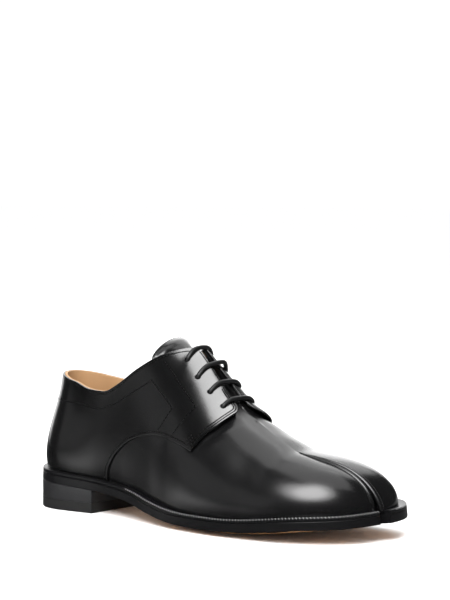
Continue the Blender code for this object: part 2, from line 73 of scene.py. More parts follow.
INSOLE_STEPS = (18, 60, 30)
INSOLE_ROUND = 0.8
TABLE_STEP = 0.25
TABLE_BLUR = 4.0
MERGE_WITHIN = 0.02
THIN_EDGE = 0.01
SHARP_EDGE = 48.0
COAT_ROUGHNESS = 0.16
GLOSS_SPREAD = 0.05
PEBBLE_SMOOTHNESS = 0.6
PORE_SIZE = 0.45
CLOUD_SCALE = 55.0

# Half widths of the sole, before heel and toe are rounded: x, outer, inner
SOLE_WIDTHS = (
    (-2, 33.5, 33.0), (36, 33.5, 33.0), (63, 31.5, 30.5), (93, 35.0, 27.5),
    (123, 42.0, 28.5), (157, 49.5, 36.5), (187, 52.0, 44.5), (211, 50.8, 48.5),
    (240, 50.5, 50.5), (290, 50.5, 50.5),
)

# Middle of the shoe: x, underside of the outsole, sideways lean of the ridge
MIDDLE_LINE = (
    (-2, 20.0, 0.0), (63, 16.0, 0.0), (98, 12.6, 0.0), (120, 7.8, -1.0), (138, 3.4, -1.5),
    (153, 0.8, -1.5), (165, 0.0, -1.5), (192, 0.0, -2.4), (210, 1.0, -3.5), (225, 2.8, -4.5),
    (245, 6.0, -2.5), (265, 9.0, 0.0), (290, 12.2, 2.5),
)

heel_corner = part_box("heel_top_lift")[0]
last_origin = Vector((heel_corner.x - SOLE_BACK * MM, heel_corner.y + HEEL_HALF_WIDTH * MM, 0.0))


def in_row(point):
    """A point of the last, in mm, as a point of the scene."""
    return last_origin + Vector(point) * MM


def smooth_table(rows, blur=0.0):
    """A reader of the smooth curves through a table's columns, softened over blur mm."""
    table = np.array(rows, float)
    at = table[:, 0]
    step = np.diff(at)
    slope = np.diff(table, axis=0) / step[:, None]
    tangent = np.zeros_like(table)
    tangent[0], tangent[-1] = slope[0], slope[-1]
    near = (2 * step[1:] + step[:-1])[:, None]
    far = (step[1:] + 2 * step[:-1])[:, None]
    with np.errstate(divide="ignore", invalid="ignore"):
        mean = (near + far) / (near / slope[:-1] + far / slope[1:])
    tangent[1:-1] = np.where(slope[:-1] * slope[1:] > 0, mean, 0.0)
    fine = np.arange(at[0], at[-1] + TABLE_STEP, TABLE_STEP)
    i = np.clip(np.searchsorted(at, fine) - 1, 0, len(step) - 1)
    t = np.clip((fine - at[i]) / step[i], 0.0, 1.0)[:, None]
    bend = tangent[i] * t * (1 - t) ** 2 - tangent[i + 1] * t * t * (1 - t)
    curves = table[i] + (table[i + 1] - table[i]) * t * t * (3 - 2 * t) + step[i][:, None] * bend
    reach = round(blur / TABLE_STEP)
    weights = np.hanning(2 * reach + 3)[1:-1]
    padded = np.vstack((curves[:1].repeat(reach, 0), curves, curves[-1:].repeat(reach, 0)))
    curves = np.stack([np.convolve(c, weights / weights.sum(), "valid") for c in padded.T], 1)

    def read(x):
        spot = min(max((x - at[0]) / TABLE_STEP, 0.0), len(curves) - 1.001)
        k = int(spot)
        return curves[k] + (curves[k + 1] - curves[k]) * (spot - k)

    return read


sole_plan = smooth_table(SOLE_WIDTHS, TABLE_BLUR)
middle = smooth_table(MIDDLE_LINE, TABLE_BLUR)


def off_middle(point):
    """How far a point of the last lies to the inner side of the middle."""
    return point[1] - middle(point[0])[2]


def ramp(x, start, end):
    """0 before start, 1 after end, and smooth between."""
    t = min(1.0, max(0.0, (x - start) / (end - start)))
    return t * t * (3 - 2 * t)


def even(steps):
    """Shares from 0 to 1 in even steps."""
    return [i / steps for i in range(steps + 1)]


def along(station, inset, side="outer"):
    """x of a station on one side. Heel and toe stations are angles from the start of the curve."""
    kind, value = station
    if kind == "heel":
        return SOLE_BACK + inset + (HEEL_ROUND - inset) * (1 - math.cos(math.radians(value)))
    if kind == "toe":
        start = TOE_TURN["outer"][0]
        return start + (SOLE_TIP[side] - inset - start) * math.sin(math.radians(value))
    return value


def stations(heel_steps, middle_steps, toe_steps):
    """Section stations from the back of the heel to the tip of the toe."""
    first, last = SOLE_BACK + HEEL_ROUND, TOE_TURN["outer"][0]
    marks = [("heel", 90.0 * i / heel_steps) for i in range(heel_steps)]
    marks += [("x", first + (last - first) * i / middle_steps) for i in range(middle_steps)]
    return marks + [("toe", 90.0 * i / toe_steps) for i in range(toe_steps + 1)]


def outline_y(side, x, inset):
    """Edge of the sole, or of a layer drawn in by inset, on one side."""
    radius = HEEL_ROUND - inset
    heel = min(1.0, max(0.0, (SOLE_BACK + inset + radius - x) / radius))
    width = (sole_plan(x)[COLUMN[side]] - inset) * math.sqrt(1 - heel * heel)
    start, power = TOE_TURN[side]
    toe = min(1.0, max(0.0, (x - start) / (SOLE_TIP[side] - inset - start)))
    turn = (1 - toe**power) ** (1 / power)
    return middle(x)[2] * (1 - turn) + SIGN[side] * turn * width


def split_gap(side, x, inset, start, half_gap):
    """Half width of the split, from nothing at its start to half_gap at the tip."""
    return half_gap * max(0.0, min(1.0, (x - start) / (SOLE_TIP[side] - inset - start))) ** SPLIT_FLARE


def sole_z(x, share):
    """Underside of the outsole. share runs from 0 in the middle to 1 at the edge."""
    rounded = max(0.0, (share - CROWN_FLAT) / (1 - CROWN_FLAT))
    return middle(x)[1] + SOLE_CROWN * ramp(x, *CROWN_X) * rounded**2


def sole_slope(x):
    return (middle(x + 1.0)[1] - middle(x - 1.0)[1]) / 2.0


def bottom_point(side, station, inset, share, lift, slot):
    """A point of a bottom layer: share 1 on its edge, 0 at the middle or the split."""
    x = along(station, inset, side)
    edge = outline_y(side, x, inset)
    sign = SIGN[side]
    centre = middle(x)[2] * ramp(x, LEAN_START, SPLIT_START) + sign * split_gap(side, x, inset, *slot)
    if sign * (edge - centre) < 0:
        edge = centre
    y = centre + (edge - centre) * share
    z = sole_z(x, abs(y) / sole_plan(x)[COLUMN[side]])
    slope = sole_slope(x)
    if side == "inner":
        x -= INNER_TOE_SLANT * max(0.0, y - centre) * ramp(x, SLANT_START, SOLE_TIP[side])
    return np.array((x - lift * slope, y, z + lift))


def mapped_grid(rows, columns, place, keep=None):
    """A grid whose point (row, column) moves to place(row, column), in mm on the last, without
    the faces that keep(row, column) refuses. Its UV map counts rows and columns."""
    bm = bmesh.new()
    bmesh.ops.create_grid(bm, x_segments=columns - 1, y_segments=rows - 1, size=0.5)
    cell = {
        v: (round((v.co.y + 0.5) * (rows - 1)), round((v.co.x + 0.5) * (columns - 1))) for v in bm.verts
    }
    uv = bm.loops.layers.uv.new("run")
    drop = []
    for face in bm.faces:
        for loop in face.loops:
            row, column = cell[loop.vert]
            loop[uv].uv = (column / (columns - 1), row / (rows - 1))
        low = (min(cell[v][0] for v in face.verts), min(cell[v][1] for v in face.verts))
        if keep and not keep(*low):
            drop.append(face)
    for v, spot in cell.items():
        v.co = in_row(place(*spot))
    bmesh.ops.delete(bm, geom=drop, context="FACES")
    bmesh.ops.remove_doubles(bm, verts=bm.verts, dist=MERGE_WITHIN * MM)
    bmesh.ops.dissolve_degenerate(bm, edges=bm.edges, dist=THIN_EDGE * MM)
    bmesh.ops.recalc_face_normals(bm, faces=bm.faces)
    return bm


def bottom_plate(inset, low, high, slot, shares, marks):
    """A layer of the bottom as a closed plate, with the split at its toe."""
    half = len(shares)
    slot_row = next(i for i, m in enumerate(marks) if along(m, inset) > slot[0])

    def place(row, column):
        if column < half:
            return bottom_point("outer", marks[row], inset, shares[half - 1 - column], low, slot)
        return bottom_point("inner", marks[row], inset, shares[column - half], low, slot)

    def keep(row, column):
        return column != half - 1 or row < slot_row

    def raise_point(v, x):
        v.co += Vector((-sole_slope(x), 0.0, 1.0)) * (high - low) * MM

    return thicken(mapped_grid(len(marks), 2 * half, place, keep), raise_point)


def thicken(bm, move):
    """Extrudes an open sheet into a closed plate; move(v, x) lifts each new point."""
    made = bmesh.ops.extrude_face_region(bm, geom=list(bm.faces))["geom"]
    for v in made:
        if isinstance(v, bmesh.types.BMVert):
            move(v, ((v.co - last_origin) / MM).x)
    bmesh.ops.recalc_face_normals(bm, faces=bm.faces)
    return bm


def bare_object(name, bm, materials=()):
    """An object of the scene from a bmesh."""
    mesh = bpy.data.meshes.new(name)
    bm.to_mesh(mesh)
    bm.free()
    for material in materials:
        mesh.materials.append(material)
    obj = bpy.data.objects.new(name, mesh)
    bpy.context.scene.collection.objects.link(obj)
    return obj


def new_piece(name, bm, materials, slot, *nodes):
    """A smooth piece of the shoe, standing for CAD nodes where it names them."""
    obj = bare_object(name, bm, materials)
    obj.data.shade_smooth()
    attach(obj, "root")
    if nodes:
        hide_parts(*nodes)
    return obj


def round_edges(obj, width, segments=2):
    """A small round on every sharp edge, which catches the light as a cut edge does."""
    bevel = obj.modifiers.new("round", "BEVEL")
    bevel.width = width * MM
    bevel.segments = segments
    bevel.limit_method = "ANGLE"
    bevel.angle_limit = math.radians(SHARP_EDGE)
    bevel.use_clamp_overlap = False
    bevel.harden_normals = True


def settle(obj):
    """Makes the result of an object's modifiers its own mesh."""
    graph = bpy.context.evaluated_depsgraph_get()
    mesh = bpy.data.meshes.new_from_object(obj.evaluated_get(graph))
    obj.modifiers.clear()
    obj.data = mesh


def add_node(tree, kind, values=None, joins=None, **settings):
    """Adds a shader node with its settings, the values of its sockets and what joins them."""
    node = tree.nodes.new(f"ShaderNode{kind}")
    for key, value in settings.items():
        setattr(node, key, value)
    for key, value in (values or {}).items():
        node.inputs[key].default_value = value
    for key, socket in (joins or {}).items():
        tree.links.new(socket, node.inputs[key])
    return node.outputs


def leather(name, color, roughness, grain, depth, shade=0.12, coat=0.0, shine=0.5):
    """Grained leather: grain is the size of its pebbles and depth their height, in mm."""
    material = bpy.data.materials.new(name)
    material.use_nodes = True
    tree = material.node_tree
    shader = tree.nodes["Principled BSDF"]
    shader.inputs["Coat Weight"].default_value = coat
    shader.inputs["Coat Roughness"].default_value = COAT_ROUGHNESS
    shader.inputs["Specular IOR Level"].default_value = shine
    place = {"Vector": add_node(tree, "TexCoord")["Object"]}
    size = grain * MM
    pebble = {"Scale": 1 / size, "Smoothness": PEBBLE_SMOOTHNESS}
    pebbles = add_node(tree, "TexVoronoi", pebble, place, feature="SMOOTH_F1")["Distance"]
    pores = add_node(tree, "TexNoise", {"Scale": PORE_SIZE / size, "Detail": 4.0}, place)["Fac"]
    height = add_node(tree, "Math", None, {0: pebbles, 1: pores}, operation="ADD")["Value"]
    relief = {"Strength": 1.0, "Distance": depth * MM}
    bump = add_node(tree, "Bump", relief, {"Height": height})["Normal"]
    cloud = add_node(tree, "TexNoise", {"Scale": CLOUD_SCALE, "Detail": 3.0}, place)["Fac"]
    dark, light = ((*(c * (1 + turn * shade) for c in color), 1.0) for turn in (-1, 1))
    tone = add_node(tree, "Mix", {"A": dark, "B": light}, {"Factor": cloud}, data_type="RGBA")["Result"]
    spread = {"To Min": roughness - GLOSS_SPREAD, "To Max": roughness + GLOSS_SPREAD}
    gloss = add_node(tree, "MapRange", spread, {"Value": pores})["Result"]
    for socket, source in (("Base Color", tone), ("Roughness", gloss), ("Normal", bump)):
        tree.links.new(source, shader.inputs[socket])
    return material


lining_leather = leather("tan_lining", (0.5, 0.3, 0.15), roughness=0.6, grain=0.8, depth=0.05, shade=0.1)
bm = bottom_plate(
    INSOLE_INSET, INSOLE_LOW, INSOLE_HIGH, INSOLE_SLOT, even(INSOLE_RIBS), stations(*INSOLE_STEPS)
)
insole = new_piece("sock_insole", bm, [lining_leather], "lining_leather", "insole")
round_edges(insole, INSOLE_ROUND)
settle(insole)

# Upper
# Vamp and lined quarters: black box calf pulled over the last and stitched to a tan lining.
# The toe is split, and each lobe's leather turns down into the cleft.
LEDGE = 5.0
FEATHER = WELT_TOP - 0.3
UPPER_WALL = 1.8
COLLAR_BACK = 14.0
RISE_TURN = 225.0
BULGE_RISE = 20.0
CLEFT_HALF_GAP = 3.2
CLEFT_FLOOR = 7.4
SLOT_START = 250.0
SLOT_HALF_GAP = 2.8
CLEFT_TAIL = 8.0
CLEFT_DEEPEN = 1.3
THROAT_CLOSE = 148.0
THROAT_END = 176.0
FLAP_X = 169.0
COLLAR_END = 108.0
COLLAR_LOW = 60.0
SOLE_SLOT = (SLOT_START, SLOT_HALF_GAP)
SECTION_BLUR = 6.0
# Painted shade: inside the throat the lining takes the black calf instead of tan, from x on, up to a
# distance from the middle
THROAT_PAINTED_SHADE = ((124.0, 12.0), (140.0, 27.0))
UPPER_STEPS = (28, 120, 54)
UPPER_RIBS = 42
CLEFT_RIBS = 9
SHARP_FOLD = math.radians(50)
HALVINGS = 36
LOWEST_REACH = 0.2

# Sections of the upper: x; reach of the top edge from the middle and its height over the welt,
# outer and inner; bulge at the foot; shares that the section's handles take
UPPER_SECTIONS = (
    # x, edge_out, edge_in, rise_out, rise_in, bulge, foot, drop, top_out, top_in
    (3, 16.0, 16.0, 66.7, 66.7, 5.0, 0.29, 0.36, 0.22, 0.22),
    (36, 19.5, 19.0, 63.6, 64.2, 4.8, 0.31, 0.36, 0.22, 0.22),
    (55, 24.0, 23.0, 60.6, 62.5, 4.6, 0.32, 0.35, 0.20, 0.20),
    (70, 26.0, 24.5, 61.2, 63.6, 4.8, 0.34, 0.34, 0.40, 0.40),
    (84, 26.5, 25.0, 68.4, 69.5, 4.6, 0.34, 0.32, 0.60, 0.60),
    (98, 25.5, 23.5, 79.8, 79.0, 4.4, 0.34, 0.27, 0.75, 0.75),
    (117, 18.5, 19.0, 95.0, 94.2, 4.0, 0.36, 0.16, 0.64, 0.68),
    (128, 9.0, 10.0, 100.9, 100.6, 4.0, 0.38, 0.10, 0.61, 0.68),
    (134, 2.8, 2.8, 102.6, 102.6, 4.0, 0.40, 0.07, 0.60, 0.68),
    (143, 3.2, 3.2, 95.8, 95.8, 4.0, 0.41, 0.05, 0.57, 0.70),
    (151, 3.6, 3.6, 88.8, 88.8, 4.0, 0.42, 0.03, 0.56, 0.72),
    (160, 4.2, 4.2, 80.2, 80.2, 4.0, 0.44, 0.02, 0.55, 0.74),
    (169, 5.0, 5.0, 71.8, 71.8, 4.0, 0.46, 0.01, 0.55, 0.74),
    (176, 0.0, 0.0, 66.6, 66.6, 4.0, 0.47, 0.0, 0.55, 0.74),
    (186, 0.0, 0.0, 60.8, 60.8, 3.8, 0.48, 0.0, 0.56, 0.72),
    (200, 0.0, 0.0, 53.0, 53.0, 3.5, 0.50, 0.0, 0.58, 0.72),
    (212, 0.0, 0.0, 46.0, 46.0, 3.2, 0.52, -0.03, 0.58, 0.74),
    (225, 0.0, 0.0, 39.0, 39.0, 3.0, 0.54, -0.06, 0.58, 0.76),
    (250, 0.0, 0.0, 34.0, 34.2, 2.5, 0.56, -0.09, 0.56, 0.76),
    (281, 0.0, 0.0, 34.0, 32.0, 1.5, 0.58, -0.10, 0.52, 0.72),
)
section = smooth_table(UPPER_SECTIONS, SECTION_BLUR)


@functools.lru_cache(maxsize=None)
def rib(side, station, flap=False):
    """The four handles of the upper's section at a station: foot, bulge, shoulder, top edge.
    A flap stays open at the middle in front of the throat."""
    sign, column = SIGN[side], COLUMN[side]
    foot = bottom_point(side, station, LEDGE, 1.0, FEATHER, SOLE_SLOT)
    x = along(station, LEDGE, side)
    row = section(x)
    reach, rise = row[column], row[column + 2]
    if not flap:
        reach *= 1 - ramp(x, THROAT_CLOSE, THROAT_END)
    elif x > FLAP_X:
        reach = section(FLAP_X)[column]
    if x > RISE_TURN:
        rise *= math.sqrt(1 - min(1.0, (x - RISE_TURN) / (SOLE_TIP[side] - LEDGE - RISE_TURN)) ** 2)
    top_x, out = foot[0], np.array((0.0, sign, 0.0))
    if station[0] == "heel":
        angle = math.radians(station[1])
        side_x = SOLE_BACK + HEEL_ROUND
        top_x = side_x - (side_x - COLLAR_BACK) * math.cos(angle)
        reach *= math.sin(angle)
        out = np.array((-math.cos(angle), sign * math.sin(angle), 0.0))
    gap = split_gap(side, x, LEDGE, SPLIT_START, CLEFT_HALF_GAP)
    top = np.array((top_x, middle(x)[2] + sign * (reach + gap), foot[2] + rise))
    if sign * (foot[1] - top[1]) < 0 and x > RISE_TURN:
        foot[1] = top[1]
    width = max(0.0, float(np.dot(foot - top, out)))
    up = np.array((0.0, 0.0, 1.0))
    first = foot + out * row[5] * min(1.0, rise / BULGE_RISE) + up * row[6] * rise
    second = top + out * row[column + 7] * width - up * row[7] * rise
    return np.array((foot, first, second, top))


def rib_point(side, station, share, flap=False):
    """A point of the upper's outer face: share 0 at the welt, 1 at the top edge or ridge."""
    t = share
    weights = np.array(((1 - t) ** 3, 3 * t * (1 - t) ** 2, 3 * t * t * (1 - t), t**3))
    return weights @ rib(side, station, flap)


def cleft_point(side, station, share):
    """A point of the split's wall, from the lip down to the outsole."""
    top = rib(side, station)[3]
    x = along(station, LEDGE, side)
    if x < SPLIT_START:
        return top
    floor = bottom_point(side, station, LEDGE, 0.0, CLEFT_FLOOR, SOLE_SLOT)[2]
    depth = min(1.0, (x - SPLIT_START) / (SLOT_START + CLEFT_TAIL - SPLIT_START)) ** CLEFT_DEEPEN
    return np.array((top[0], top[1], top[2] - share * depth * max(0.0, top[2] - floor)))


def upper_sheet(marks, shares, cleft_shares, flap=False):
    """The outer face of the leather as an open sheet, closed round the heel."""
    ribs = len(shares)
    half = ribs + len(cleft_shares)

    def place(row, column):
        side = "outer" if column < half else "inner"
        step = column if column < half else 2 * half - 1 - column
        if step < ribs:
            return rib_point(side, marks[row], shares[step], flap)
        return cleft_point(side, marks[row], cleft_shares[step - ribs])

    def keep(row, column):
        x = along(marks[row], LEDGE)
        return column != half - 1 or (not flap and THROAT_END <= x < SLOT_START + CLEFT_TAIL)

    return mapped_grid(len(marks), 2 * half, place, keep)


def halve(low, high, before, steps=HALVINGS):
    """The place between low and high where before(place) stops being true."""
    for _ in range(steps):
        spot = (low + high) / 2
        low, high = (spot, high) if before(spot) else (low, spot)
    return spot


def surface_point(side, x, value, axis, flap=True):
    """Point and normal of the outer face at x, where its distance from the middle (axis 1) or
    its height (axis 2) has a value."""

    def at(share, ahead=0.0):
        return rib_point(side, ("x", x + ahead), share, flap)

    if axis == 1:
        share = halve(LOWEST_REACH, 1.0, lambda t: abs(at(t)[1] - middle(x)[2]) > value)
    else:
        share = halve(0.0, 1.0, lambda t: at(t)[2] < value)
    point = at(share)
    normal = np.cross(at(share, 0.5) - point, at(max(0.0, share - 0.01)) - point)
    if np.dot(normal, (0.0, SIGN[side], 0.3)) < 0:
        normal = -normal
    return point, normal / np.linalg.norm(normal)


def wall(obj, thickness, offset):
    """Gives a sheet its thickness; the inside takes the second material and the rim the third."""
    solid = obj.modifiers.new("wall", "SOLIDIFY")
    solid.thickness = thickness * MM
    solid.offset = offset
    solid.material_offset = 1
    solid.material_offset_rim = 2


EYELET_RADIUS = 2.1
PUNCH_DEPTH = 14.0
PUNCH_SIDES = 24
# Lace holes from the lowest up: x, distance from the middle on the outer and the inner facing
EYELETS = (
    (169.0, 15.6, 14.5), (157.5, 16.0, 13.5), (146.0, 15.7, 12.0), (134.5, 13.0, 10.0),
)
bm = bmesh.new()
for x, *reaches in EYELETS:
    for side, reach in zip(SIGN, reaches):
        point, normal = surface_point(side, x, reach, 1)
        turn = Vector(normal).to_track_quat("Z", "Y").to_matrix().to_4x4()
        size = {"radius1": EYELET_RADIUS * MM, "radius2": EYELET_RADIUS * MM, "depth": PUNCH_DEPTH * MM}
        stand = Matrix.Translation(in_row(point)) @ turn
        bmesh.ops.create_cone(bm, cap_ends=True, segments=PUNCH_SIDES, matrix=stand, **size)
punch = bare_object("lace_punch", bm)
punch.hide_render = True


def punch_holes(obj):
    """Punches the eight lace holes through a piece."""
    holes = obj.modifiers.new("lace_holes", "BOOLEAN")
    holes.operation = "DIFFERENCE"
    holes.solver = "EXACT"
    holes.object = punch


calf = leather(
    "black_calf", (0.004, 0.004, 0.0042), roughness=0.25, grain=0.5, depth=0.016, shade=0.15, coat=0.3
)
bm = upper_sheet(stations(*UPPER_STEPS), even(UPPER_RIBS), even(CLEFT_RIBS)[1:])
upper = new_piece("lined_upper", bm, [calf, lining_leather, lining_leather], "black_calf", "upper")
wall(upper, UPPER_WALL, -1.0)
punch_holes(upper)
settle(upper)
# The cut rim is black calf away from the collar; inside the throat the tan lining is painted black as
# shade
for face in upper.data.polygons:
    spot = (face.center - last_origin) / MM
    at_collar = spot.x < COLLAR_END and spot.z > COLLAR_LOW
    across = abs(off_middle(spot))
    in_throat_shade = any(spot.x > start and across < reach for start, reach in THROAT_PAINTED_SHADE)
    if (face.material_index == 2 and not at_collar) or in_throat_shade:
        face.material_index = 0
upper.data.set_sharp_from_angle(angle=SHARP_FOLD)

# Quarters
# Outer leather of the back of the shoe in one piece, lapped over the vamp and left open in
# front, where its facings carry the lace. Its edges are cut, inked and rounded.
QUARTER_LOW = 0.1
QUARTER_WALL = 1.5
SEAM_SHIFT = -4.9
SEAM_LEAN = 18.0
SEAM_SPAN = 90.0
QUARTER_END = 186.0
CORNER_FROM = 13.0
CORNER_TO = 4.0
CORNER_CUT = 9.0
SEAM_FREE = 65.0
FAR_BEHIND = 99.0
QUARTER_STEPS = (28, 170, 40)
QUARTER_RIBS = 48
QUARTER_ROUND = 0.45
SEAM_HALVINGS = 12
# The quarters' lower edge, drawn in side view as x and z: arc over the waist, front of the flap
SEAM_ARC = (
    (74.6, 8.0), (75.0, 27.6), (78.4, 35.5), (84.3, 42.8), (94.6, 50.9), (105.8, 55.9),
    (120.0, 59.3), (133.0, 59.0), (141.7, 57.2), (152.7, 54.6), (161.2, 51.4),
)
SEAM_FRONT = (
    (161.2, 51.4), (162.2, 53.6), (167.7, 63.1), (172.0, 67.9), (174.7, 74.0),
    (173.0, 78.8), (168.6, 83.2), (160.0, 95.0), (140.0, 140.0),
)


def smooth_line(points, steps=12):
    """A smooth line through points, with steps points between each pair."""
    p = np.array(points, float)
    p = np.vstack((2 * p[0] - p[1], p, 2 * p[-1] - p[-2]))
    line = []
    for i in range(1, len(p) - 2):
        for k in range(steps):
            t = k / steps
            spot = 2 * p[i] + (p[i + 1] - p[i - 1]) * t
            spot = spot + (2 * p[i - 1] - 5 * p[i] + 4 * p[i + 1] - p[i + 2]) * t**2
            spot = spot + (3 * p[i] - p[i - 1] - 3 * p[i + 1] + p[i + 2]) * t**3
            line.append(0.5 * spot)
    return np.array(line + [p[-2]])


seam_arc = smooth_line(SEAM_ARC)
seam_front = smooth_line(SEAM_FRONT)
seam = np.vstack((seam_arc[:-1], seam_front))


def seam_lean(y):
    """How far the seam lies forward at y, as the inner flap reaches further."""
    return SEAM_SHIFT + SEAM_LEAN * (y + SEAM_SPAN) / (2 * SEAM_SPAN)


def seam_side(point):
    """Distance from the seam seen from the side: positive behind it, on the quarters."""
    beside_throat = (CORNER_FROM - abs(off_middle(point))) / (CORNER_FROM - CORNER_TO)
    cut = CORNER_CUT * (1 - math.sqrt(1 - min(1.0, max(0.0, beside_throat)) ** 2))
    q = np.array((point[0] - seam_lean(point[1]) + cut, point[2]))
    a, b = seam[:-1], seam[1:]
    d = b - a
    t = np.clip(((q - a) * d).sum(1) / (d * d).sum(1), 0.0, 1.0)
    distance = np.hypot(*(q - a - d * t[:, None]).T).min()
    crossed = (a[:, 1] > q[1]) != (b[:, 1] > q[1])
    with np.errstate(divide="ignore", invalid="ignore"):
        reach = a[:, 0] + (q[1] - a[:, 1]) * d[:, 0] / d[:, 1]
    return distance if (crossed & (q[0] < reach)).sum() % 2 else -distance


def quarter_sheet(marks, shares):
    """The quarters' sheet: the points next to the seam move onto it, and what lies past it goes."""
    half = len(shares)
    columns = 2 * half

    def params(row, column):
        side = "outer" if column < half else "inner"
        return side, row, shares[column if column < half else columns - 1 - column]

    def between(a, b, t):
        """The sheet's point between two grid points, where both have an x of their own."""
        x = along(marks[a[1]], LEDGE) * (1 - t) + along(marks[b[1]], LEDGE) * t
        return rib_point(a[0], ("x", x), a[2] * (1 - t) + b[2] * t, True)

    points, value = {}, {}
    for row in range(len(marks)):
        for column in range(columns):
            side, _, share = params(row, column)
            points[row, column] = rib_point(side, marks[row], share, True)
            far = along(marks[row], LEDGE) < SEAM_FREE
            value[row, column] = FAR_BEHIND if far else seam_side(points[row, column])
    moves = {}
    for spot in points:
        for other in ((spot[0] + 1, spot[1]), (spot[0], spot[1] + 1)):
            if other not in points or spot[1] == half - 1 != other[1]:
                continue
            if value[spot] * value[other] >= 0:
                continue
            a, b = params(*spot), params(*other)
            t = halve(0.0, 1.0, lambda t: seam_side(between(a, b, t)) * value[spot] >= 0, SEAM_HALVINGS)
            nearest, move = (spot, t) if t < 0.5 else (other, 1 - t)
            if nearest not in moves or move < moves[nearest][0]:
                moves[nearest] = (move, between(a, b, t))
    for spot, (_, point) in moves.items():
        points[spot] = point
        value[spot] = 0.0

    def keep(row, column):
        if column == half - 1:
            return False
        corners = [value[row + i, column + j] for i in (0, 1) for j in (0, 1)]
        return max(corners) > 0 and (min(corners) >= 0 or corners.count(0.0) == 2)

    bm = mapped_grid(len(marks), columns, lambda row, column: points[row, column], keep)

    def key(spot):
        return tuple(round(c, 6) for c in spot)

    behind = {key(in_row(points[spot])): v for spot, v in value.items()}
    for face in list(bm.faces):
        signs = [behind.get(key(v.co), 1.0) for v in face.verts]
        if len(signs) == 4 and min(signs) < 0:
            worst = signs.index(min(signs))
            corner = face.verts[worst]
            bmesh.utils.face_split(face, face.verts[worst - 1], face.verts[(worst + 1) % 4])
            bmesh.ops.delete(bm, geom=[corner], context="VERTS")
    return bm


marks = [m for m in stations(*QUARTER_STEPS) if along(m, LEDGE) < QUARTER_END]
bm = quarter_sheet(marks, even(QUARTER_RIBS))
bm.normal_update()
for v in bm.verts:
    v.co += v.normal * QUARTER_LOW * MM
quarters = new_piece("quarter_leather", bm, [calf, calf, calf], "black_calf", "quarters")
wall(quarters, QUARTER_WALL, 1.0)
round_edges(quarters, QUARTER_ROUND)
punch_holes(quarters)
settle(quarters)

# The vamp is pressed down where the flaps lie on it and sinks between them in front of the throat
PRESS_DEPTH = 1.5
PRESS_FRONT = 10.0
PRESS_UNDER = 9.0
PRESS_X = (150.0, 163.0)
PRESS_Z = (48.0, 60.0)
PRESS_LOW = 46.0
PRESS_ACROSS = (10.0, 20.0)
DIP_DEPTH = 1.7
DIP_X = (165.0, 181.0, 212.0)
DIP_ACROSS = (4.0, 20.0)
OUTWARD_RISE = 8.0


def throat_dip(x, across):
    """How far the vamp sinks at a distance across from the middle."""
    start, deepest, end = DIP_X
    depth = DIP_DEPTH * ramp(x, start, deepest) * (1 - ramp(x, deepest, end))
    return depth * (1 - ramp(abs(across), *DIP_ACROSS))


for v in upper.data.vertices:
    spot = (v.co - last_origin) / MM
    across = off_middle(spot)
    if not (PRESS_X[0] < spot.x < DIP_X[2] and spot.z > PRESS_LOW):
        continue
    press = throat_dip(spot.x, across)
    if abs(across) > PRESS_ACROSS[0]:
        behind = seam_side(spot)
        edge = ramp(1 - abs(behind) / (PRESS_UNDER if behind > 0 else PRESS_FRONT), 0.0, 1.0)
        edge *= ramp(spot.z, *PRESS_Z) * ramp(abs(across), *PRESS_ACROSS)
        press += PRESS_DEPTH * edge * ramp(spot.x - seam_lean(spot.y), *PRESS_X)
    outward = v.normal.dot(Vector((0.0, across, OUTWARD_RISE))) > 0
    inward = -v.normal if outward else v.normal
    v.co += inward * press * MM
upper.data.update()

# Seam stitching
# Rows of fine black thread, about four stitches to the centimetre, that close the vamp seam
# and mark the facing, the collar band and the two angled straps inside the quarters.
STITCH_PITCH = 2.3
STITCH_LONG = 1.7
STITCH_WIDE = 0.3
CHANNEL_WIDE = 0.8
STITCH_RAISED = QUARTER_LOW + QUARTER_WALL
STITCH_FLAT = 0.8
STITCH_SEAT = 0.02
STITCH_SEGMENTS = (6, 5)
CHANNEL_SEAT = 0.05
LOOK_AHEAD = 0.3
SIDE_REACH = 36.0
SEAM_RANGE = (150.0, 184.0)
SPOT_HALVINGS = 20
# A flap's row: points round its corner as first reach and count, steps down its front to a lowest
# height, points along the throat as first x and count
FRONT_ROW = (CORNER_TO + 1.0, 14)
FRONT_STEP = 1.6
FRONT_LOW = 53.5
THROAT_ROW = (135.5, 30)
STEEP_SIDE = 0.8
ARC_INSET = 2.1
ARC_LOW = 24.0
ARC_END = 157.0
FLAP_INSETS = ((1.6, True), (3.3, False))
# Heights at the back and the side of the heel; first and last x of the collar's edge row and count
HEEL_ROW = (76.6, 74.6)
HEEL_STEPS = 12
COLLAR_ROW = (62.0, 132.0, 40)
COLLAR_INSET = 2.2
# Rows drawn in side view as x and z
COLLAR_BAND = (
    (41.0, 74.5), (48.8, 74.3), (58.0, 72.7), (68.5, 72.9),
    (77.0, 75.2), (86.0, 78.9), (100.0, 86.6), (113.8, 94.7),
)
BACK_STRAP = ((113.8, 94.7), (125.0, 86.2), (135.9, 77.3), (130.8, 69.4), (125.6, 61.5))
FRONT_STRAP = ((119.6, 107.1), (138.5, 91.5), (153.8, 79.2), (147.2, 69.7), (140.6, 60.3))
TACK = (
    ((157.5, 56.2), (154.5, 59.4)),
    ((158.8, 57.6), (155.8, 60.8)),
    ((160.1, 59.0), (157.1, 62.2)),
)


def unit(rows):
    """Rows of directions, each made one long."""
    return rows / np.linalg.norm(rows, axis=1)[:, None]


def spread(points, normals, pitch):
    """Places at an even pitch along a line: point, direction and normal of each."""
    p, n = np.array(points, float), np.array(normals, float)
    run = np.concatenate(((0.0,), np.cumsum(np.linalg.norm(np.diff(p, axis=0), axis=1))))
    count = max(2, int(run[-1] / pitch))
    at = (np.arange(count) + 0.5) * run[-1] / count

    def read(values, spot):
        return np.stack([np.interp(spot, run, column) for column in values.T], 1)

    return read(p, at), read(p, at + LOOK_AHEAD) - read(p, at - LOOK_AHEAD), read(n, at)


